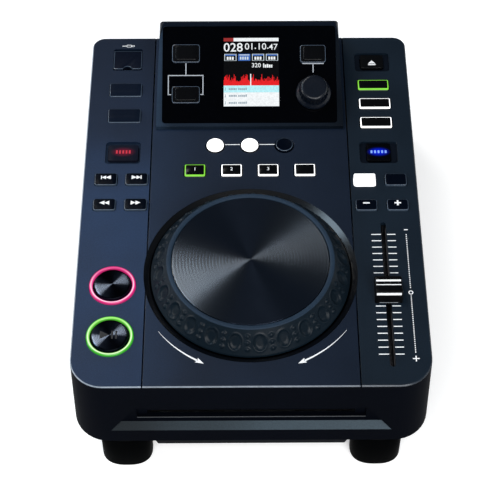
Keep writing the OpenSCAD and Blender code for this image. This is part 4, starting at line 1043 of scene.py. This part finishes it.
def make_pod():
    for n, node, u, v0, w, d in (("browse", "browse_button", -42, 49, 18.4, 12.7), ("lock", "lock_button", -42, 19.9, 18.4, 11.7),
                                 ("back", "back_button", 42.3, 48.4, 17, 12.4)):
        b = Build()
        v, f = loft([flat(rrect(w + 2, d + 2, 1.8), -4.4), flat(rrect(w + 2, d + 2, 1.8), -3.4)])
        b.add(v, f, 0, pod(u, v0))
        # painted highlight: this outer pillow shows as a thin bright rim round the key
        v, f = pillow(w - 0.05, d - 0.05, 1.75, -3.4, 0.62, 0.25)
        b.add(v, f, 2, pod(u, v0))
        v, f = pillow(w - 0.8, d - 0.8, 1.5, 0.3, 0.75, 0.1)
        b.add(v, f, 1, pod(u, v0))
        v, f = pillow(w - 4.4, d - 2.6, 1.2, 0.3, 1.22, 0.45)
        b.add(v, f, 1, pod(u, v0 + 0.3))
        b.done(node + "_cap", [M["key"], M["key_top"], M["key_rim"]], n, 28, (node,))
    # printed lines on the window
    b = Build()
    z0, z1 = -0.02, 0.05

    def ln(pts, w=0.62):
        v, f = stroke(pts, w, z0, z1)
        b.add(v, f, 0, pod())
    ln([(-42, 42.2), (-42, 34.0)])
    ln([(-53.6, 33.5), (-30.7, 33.5)])
    ln([(-53.6, 33.88), (-53.6, 20.1)])
    ln([(-30.7, 33.88), (-30.7, 20.1)])
    ln([(-53.98, 20.1), (-51.7, 20.1)])
    ln([(-30.3, 20.1), (-32.4, 20.1)])
    ln([(35.2, 41.6), (49.4, 41.6)])
    ln([(42.3, 41.6), (42.3, 35.2)])
    b.done("pod_lines", [M["ink_grey"]], "case", 30)

    # picture on the display: plain figures, a level trace and rows
    b = Build()
    mats = [M[k] for k in ("px_black", "px_white", "px_red", "px_darkred", "px_cyan", "px_blue", "px_grey", "px_line")]

    def rect(u0, v0, u1, v1, m, z=0.0, zt=0.03):
        v, f = prism([(u0, v0), (u1, v0), (u1, v1), (u0, v1)], z, z + zt)
        b.add(v, f, m, pod())
    L, R = -17.0, 19.6
    rect(L, 11.7, R, 60.1, 0, -0.02, 0.035)
    rect(L, 57.6, L + 6.6, 60.0, 3, 0.015)
    rect(L + 6.6, 57.6, R, 60.0, 1, 0.015)
    for t, size, u, v0, bd in (("028", 8.7, -10.6, 53.0, 0.05), ("01", 6.5, 0.2, 53.7, 0.02), ("10", 6.5, 8.3, 53.7, 0.02), ("47", 5.9, 16.0, 53.4, 0.02)):
        v, f = glyphs(t, size, 0.015, 0.05, bd)
        b.add(v, f, 1, pod(u, v0))
    for u in (4.1, 12.4):
        rect(u - 0.4, 52.2, u + 0.4, 53.0, 1, 0.015)
    for i in range(4):
        u0 = L + 0.5 + i * 9.2
        rect(u0, 43.8, u0 + 8.0, 48.6, 7 if i != 1 else 5, 0.015)
        if i != 1:
            rect(u0 + 0.45, 44.0, u0 + 7.55, 47.3, 0, 0.03)
            rect(u0 + 0.45, 47.3, u0 + 7.55, 48.3, 5, 0.03)
            for t in range(3):
                rect(u0 + 1.6 + 1.7 * t, 44.5, u0 + 2.8 + 1.7 * t, 46.6, 1, 0.045)
        else:
            rect(u0 + 0.6, 47.6, u0 + 7.4, 48.2, 7, 0.03)
            for t in range(4):
                rect(u0 + 1.1 + 1.55 * t, 44.6, u0 + 2.1 + 1.55 * t, 46.6, 7, 0.045)
    v, f = glyphs("320", 4.2, 0.015, 0.05, 0.03)
    b.add(v, f, 1, pod(4.6, 40.4))
    for t, (a0, a1, h) in enumerate(((9.2, 9.9, 2.9), (10.2, 11.3, 2.0), (11.6, 12.7, 2.4), (13.0, 14.1, 2.0), (14.4, 15.3, 2.0))):
        rect(a0, 38.9, a1, 38.9 + h, 1, 0.03)
    # level trace
    import random
    rnd = random.Random(11)
    k = 92
    pts = [(L, 26.3)]
    hs = []
    h = 0.4
    for i in range(k):
        h = 0.25 * h + 0.75 * rnd.random()
        env = 0.72 + 0.22 * math.sin(i * 0.31) * math.sin(i * 0.113 + 1.2)
        hs.append(26.6 + 7.6 * min(1.0, max(0.34, env * (0.35 + 1.15 * h * (1 if i % 2 else 0.6)))))
    for i in range(k):
        u0, u1 = L + (R - L) * i / k, L + (R - L) * (i + 1) / k
        rect(u0, 26.3, u1 + 0.02, hs[i], 2, 0.015)
    rect(0.55, 26.3, 1.25, 34.4, 1, 0.04)
    rect(L, 21.4, R, 26.3, 4, 0.015)
    rect(L, 11.7, R, 21.4, 1, 0.015)
    for j, vv in enumerate((23.9, 19.1, 14.2)):
        rect(L, vv - 2.5, R, vv - 2.42, 7, 0.03)
        rect(L + 1.0, vv - 0.9, L + 1.4, vv + 1.0, 6, 0.03)
        rect(L + 0.6, vv - 1.1, L + 1.4, vv - 0.6, 6, 0.045)
        u = L + 3.4
        for wd in ((0.8, 0.9, 0.8, 0.9, 0.8, None, 0.8, 0.7, 0.4, 0.9, 0.8, 0.8)):
            if wd is None:
                u += 0.8
                continue
            tall = 0.35 if int(u * 10) % 3 == 0 else 0.0
            rect(u, vv - 0.75, u + wd, vv + 0.55 + tall, 6, 0.03)
            u += wd + 0.25
    b.done("display_picture", mats, "case", 30)


# ------------------------------------------------------------------ printing on the deck

def make_prints():
    b = Build()
    z0, z1 = -0.02, 0.05

    def add(shape, m=0, x=0.0, y=0.0):
        b.add(shape[0], shape[1], m, deck(x, y))
    # thin lines that join the round loop keys
    for x0, x1 in ((-16.2, -6.3), (6.3, 16.2)):
        add(stroke([(x0, 40.9), (x1, 40.9)], 0.5, z0, z1))
    # arrows round the wheel's well
    for side in (-1, 1):
        arcp, ws = [], []
        a0, a1, r0, r1 = (218.3, 243.9, 70.4, 71.7) if side < 0 else (-37.0, -64.2, 71.6, 71.9)
        steps = 22
        for i in range(steps + 1):
            t = i / steps
            a = math.radians(a0 + (a1 - a0) * t)
            r = r0 + (r1 - r0) * t + 0.0
            arcp.append((JX + r * math.cos(a), JY + r * math.sin(a)))
            ws.append(0.16 + 0.95 * t ** 1.1)
        add(stroke(arcp, ws, z0, z1))
        e, p = arcp[-1], arcp[-3]
        dx, dy = e[0] - p[0], e[1] - p[1]
        k = math.hypot(dx, dy)
        dx, dy = dx / k, dy / k
        nx, ny = -dy, dx
        add(prism([(e[0] - dx * 0.9 + nx * 1.75, e[1] - dy * 0.9 + ny * 1.75), (e[0] + dx * 4.1, e[1] + dy * 4.1),
                   (e[0] - dx * 0.9 - nx * 1.75, e[1] - dy * 0.9 - ny * 1.75), (e[0] - dx * 0.2, e[1] - dy * 0.2)], z0, z1))
    # fader scale
    for i in range(19):
        y = -33.4 - i * 4.945
        wl = 0.62
        add(stroke([(75.5, y), (81.5, y)], wl, z0, z1))
        add(stroke([(85.4, y), (90.6, y)], wl, z0, z1))
    x = 97.3
    add(stroke([(x - 1.2, -29.8), (x + 1.2, -29.8)], 0.65, z0, z1))
    y = -33.3
    while y > -75.0:
        add(stroke([(x, y), (x, y - 0.8)], 0.6, z0, z1))
        y -= 1.5
    v, f = lathe_band([(1.5, z0), (1.5, z1), (0.85, z1), (0.85, z0)], x, -77.9, 32)
    add((v, f))
    y = -80.1
    while y > -121.0:
        add(stroke([(x, y), (x, y - 0.85)], 0.6, z0, z1))
        y -= 1.5
    add(stroke([(x - 2.0, -125.6), (x + 2.0, -125.6)], 0.65, z0, z1))
    add(stroke([(x, -123.6), (x, -127.6)], 0.65, z0, z1 + 0.01))
    # small socket symbol behind the port cover: a plug seen from above
    add(band(3.4, 2.2, 0.4, 0.36, z0, z1, 4, 0.02), 0, -82.2, 130.2)
    add(band(1.9, 1.4, 0.25, 0.3, z0, z1, 4, 0.02), 0, -79.4, 130.2)
    add(stroke([(-86.8, 130.2), (-83.8, 130.2)], 0.5, z0, z1))
    b.done("deck_prints", [M["ink"], M["ink_grey"]], "case", 30)


# ------------------------------------------------------------------ the CAD pieces that stay

def dress(node, mat, bevel=0.0, segments=2, limit=30, crease=24, edge=None):
    o = NODES[node]
    o.data.materials.clear()
    o.data.materials.append(M[mat])
    w = o.modifiers.new("weld", "WELD")
    w.merge_threshold = 0.00001
    if bevel:
        m = o.modifiers.new("soft_edges", "BEVEL")
        m.width, m.segments, m.limit_method = bevel * MM, segments, "ANGLE"
        m.angle_limit = math.radians(limit)
        m.use_clamp_overlap = True
        m.harden_normals = False
        if edge:
            o.data.materials.append(M[edge])
            m.material = len(o.data.materials) - 1
    o.data.polygons.foreach_set("use_smooth", [True] * len(o.data.polygons))
    e = o.modifiers.new("crease", "EDGE_SPLIT")
    e.split_angle = math.radians(crease)
    k = o.modifiers.new("even_shading", "WEIGHTED_NORMAL")
    k.mode, k.weight, k.keep_sharp = "FACE_AREA", 80, True
    return o


def dress_cad():
    o = dress("upper_case", "case", 0.45, 3, 40)
    # the sloped pocket floor on the front gets the painted-light pocket colour
    o.data.materials.append(M["pocket"])
    for p in o.data.polygons:
        c, n = p.center, p.normal
        if n.y < -0.5 and 0.5 < n.z < 0.9 and -0.1475 < c.y < -0.140 and 0.040 < c.z < 0.052:
            p.material_index = 1
    tops = [v.co for n in ("deck_left", "deck_center", "deck_right") for v in NODES[n].data.vertices
            if v.co.z > 0.0885]
    x1, y0 = max(c.x for c in tops), min(c.y for c in tops)
    r = min(c.y for c in tops if c.x > x1 - 2e-5) - y0
    # painted highlights on the bevelled deck edges: a brighter copy on the left panel, darker on the right
    M["edge_left"] = edge_painted_highlight("deck_edge_left", (0.0150, 0.0280, 0.0600), (0.24, 0.28, 0.33), x1, y0, r)
    M["edge_center"] = edge_painted_highlight("deck_edge_center", (0.0085, 0.0160, 0.0310), (0.185, 0.212, 0.25), x1, y0, r, 0.0690)
    M["edge_right"] = edge_painted_highlight("deck_edge_right", (0.0048, 0.0108, 0.0195), (0.15, 0.17, 0.20), x1, y0, r)
    for n in ("deck_center", "deck_left", "deck_right"):
        o = dress(n, "deck" if n == "deck_center" else n, 0.5, 2, 28, edge=n.replace("deck", "edge"))
        # recess floors take the painted-shade colour
        o.data.materials.append(M["pit_left" if n == "deck_left" else "pit"])
        for p in o.data.polygons:
            if p.normal.z > 0.9 and 0.081 < p.center.z < 0.0896:
                p.material_index = 2
            elif 0.3 < p.normal.z < 0.9 and p.center.z > DZ * MM - 0.0009:
                p.material_index = 1
    # pod housing: painted light across X, painted highlight on the bevelled edges
    o = dress("pod_housing", "pod", 0.5, 3, 20, edge="pod_edge_highlight")
    o.data.materials.append(M["pod_top"])
    back = max((v.co.z for v in o.data.vertices))
    for p in o.data.polygons:
        if p.center.z > back - 0.0035 and p.normal.z > 0.2:
            p.material_index = 2
    # painted highlight: a lighter rod along the lower lip of the slot's recess, standing in for the light that edge
    # catches
    v, f = loft([[(x, -141.95 + 0.3 * math.cos(2 * math.pi * i / 16), 51.98 + 0.3 * math.sin(2 * math.pi * i / 16))
                  for i in range(16)] for x in (-68.8, -40, 0, 40, 68.8)])
    Build().add(v, f, 0).done("slot_lip_highlight_line", [M["slot_line"]], "case", 50)
    dress("pod_window", "window")
    dress("bottom_chassis", "chassis", 0.25, 2, 40)
    dress("chassis_screws", "screw")
    dress("lcd_module", "lcd_back")
    dress("jog_bearing", "well", 0.3, 2, 40)
    dress("jog_hub", "nickel")
    dress("fader_body", "fader_metal")
    dress("encoder_shaft", "shaft")
    o = dress("control_boards", "board")
    for k in ("socket", "steel", "ins_white"):
        o.data.materials.append(M[k])
    cs, sn = math.cos(TILT), math.sin(TILT)
    for p in o.data.polygons:
        c = p.center * 1000
        above = -(c.y - POD_Y) * sn + (c.z - POD_Z) * cs
        x, y, z = c.x + 82.5, c.y - 117.4, c.z - DZ
        if abs(x) < 5.7 and -3.5 < y < -1.4 and -12.45 < z < -8.3:
            p.material_index = 3
        elif abs(x) < 7.3 and -4.7 < y < 2.7 and z > -12.65:
            p.material_index = 2
        elif -12.55 < z < -4 and (abs(c.x) > 60 or c.y < 60):
            p.material_index = 1
        elif above > -9.55 and abs(c.x) < 53 and c.y > POD_Y + 4:
            p.material_index = 1
    dress("main_board", "board")
    dress("power_supply", "supply")
    o = dress("rear_jacks", "gold", 0.15, 2, 40)
    for k in ("socket", "steel", "ins_white", "ins_red"):
        o.data.materials.append(M[k])
    zc = 0.060
    for p in o.data.polygons:
        c, n = p.center * 1000, p.normal
        if c.x > 4:
            tongue = 9.5 < c.x < 14.9 and abs(c.z - 1000 * zc) < 1.7
            p.material_index = 3 if tongue else 2
        elif c.x > -20:
            p.material_index = 2
        else:
            xc = min((-66, -48, -30), key=lambda q: abs(q - c.x))
            if max(abs(c.x - xc), abs(c.z - 1000 * zc)) > 6.3 or (n.y > 0.9 and c.y < 141 and math.hypot(c.x - xc, c.z - 1000 * zc) > 4.0):
                p.material_index = 1
            elif n.y > 0.9 and c.y > 145.5:
                p.material_index = {-66: 3, -48: 4, -30: 1}[xc]
    dress("power_inlet", "socket", 0.3, 2, 40)
    dress("drive_frame", "steel")
    dress("feed_roller", "roller")
    dress("turntable", "drive")
    dress("pickup_sled", "drive")
    dress("lead_screw", "shaft")


# ------------------------------------------------------------------ floor and light

def make_stage():
    me = bpy.data.meshes.new("floor")
    s = 4.0
    me.from_pydata([(-s, -s, 0), (s, -s, 0), (s, s, 0), (-s, s, 0)], [], [(0, 1, 2, 3)])
    m, nt, b = _nodes("floor_paint")
    b.inputs["Base Color"].default_value = (0.93, 0.93, 0.93, 1)
    b.inputs["Roughness"].default_value = 0.9
    b.inputs["Specular IOR Level"].default_value = 0.0
    b.inputs["Emission Color"].default_value = (1, 1, 1, 1)
    b.inputs["Emission Strength"].default_value = 0.34
    me.materials.append(m)
    o = bpy.data.objects.new("floor", me)
    bpy.context.scene.collection.objects.link(o)
    o.location.z = -0.0002

    w = bpy.data.worlds.new("studio")
    bpy.context.scene.world = w
    w.use_nodes = True
    w.node_tree.nodes["Background"].inputs["Color"].default_value = (0.86, 0.94, 1.0, 1)
    w.node_tree.nodes["Background"].inputs["Strength"].default_value = 0.10

    def area(name, at, aim, size, watts, colour=(1, 1, 1)):
        d = bpy.data.lights.new(name, "AREA")
        d.shape, d.size, d.size_y, d.energy, d.color = "RECTANGLE", size[0], size[1], watts, colour
        o = bpy.data.objects.new(name, d)
        bpy.context.scene.collection.objects.link(o)
        o.location = at
        o.rotation_euler = (Vector(aim) - Vector(at)).to_track_quat("-Z", "Y").to_euler()
    area("front_box", (0.15, -1.75, 2.1), (0, 0, 0), (2.4, 1.5), 52)
    area("low_front_box", (0.62, -1.62, 1.08), (0, -0.05, 0.07), (0.9, 0.42), 12)
    area("left_box", (-1.5, -0.15, 0.66), (0, 0, 0.09), (0.9, 0.45), 8, (1.0, 0.985, 0.96))
    area("low_rear_left_box", (-1.35, 1.02, 0.60), (0, 0, 0.09), (0.9, 0.5), 7, (0.92, 0.96, 1.0))
    area("right_box", (1.5, -0.1, 0.66), (0, 0, 0.09), (0.9, 0.45), 3, (0.93, 0.97, 1.0))
    area("high_left_box", (-1.10, 0.22, 1.56), (0, -0.05, 0.09), (0.5, 0.5), 6.5, (0.62, 0.82, 1.0))
    area("rear_left_box", (-0.58, 0.81, 1.56), (0, -0.06, 0.09), (0.55, 0.5), 7.0, (1.0, 0.97, 0.92))
    sc = bpy.context.scene
    sc.view_settings.view_transform = "Standard"
    sc.view_settings.look = "None"


make_camera()
make_materials()
M["key_cover"] = plastic("cover_plastic", (0.0026, 0.0046, 0.0115), 0.45, 0.05, 1200, 0.12)
M["glow_cue"] = ring_glow("glow_cue", -84.3, -71.7,
                          [(0.0, (0.10, 0.0, 0.02)), (0.20, (0.66, 0.005, 0.16)), (0.38, (1.0, 0.16, 0.46)),
                           (0.54, (1.0, 0.80, 0.92)), (0.72, (0.95, 0.02, 0.28)), (1.0, (0.40, 0.0, 0.09))],
                          [(0.0, (0.08, 0.0, 0.02)), (0.22, (0.42, 0.002, 0.10)), (0.42, (0.78, 0.014, 0.21)),
                           (0.60, (0.82, 0.035, 0.27)), (0.76, (0.56, 0.002, 0.13)), (1.0, (0.30, 0.0, 0.06))])
M["glow_play"] = ring_glow("glow_play", -84.2, -109.0,
                           [(0.0, (0.0, 0.06, 0.0)), (0.22, (0.05, 0.42, 0.012)), (0.40, (0.50, 1.0, 0.28)),
                            (0.57, (0.90, 1.0, 0.72)), (0.76, (0.06, 0.60, 0.015)), (1.0, (0.010, 0.22, 0.005))],
                           [(0.0, (0.0, 0.05, 0.0)), (0.22, (0.04, 0.36, 0.01)), (0.42, (0.30, 0.85, 0.12)),
                            (0.60, (0.36, 0.90, 0.16)), (0.76, (0.05, 0.50, 0.012)), (1.0, (0.012, 0.24, 0.006))])
make_stage()
dress_cad()
make_keys()
make_round_keys()
make_jog()
make_fader()
make_knob()
make_cover()
make_feet()
make_rocker()
make_pod()
make_prints()
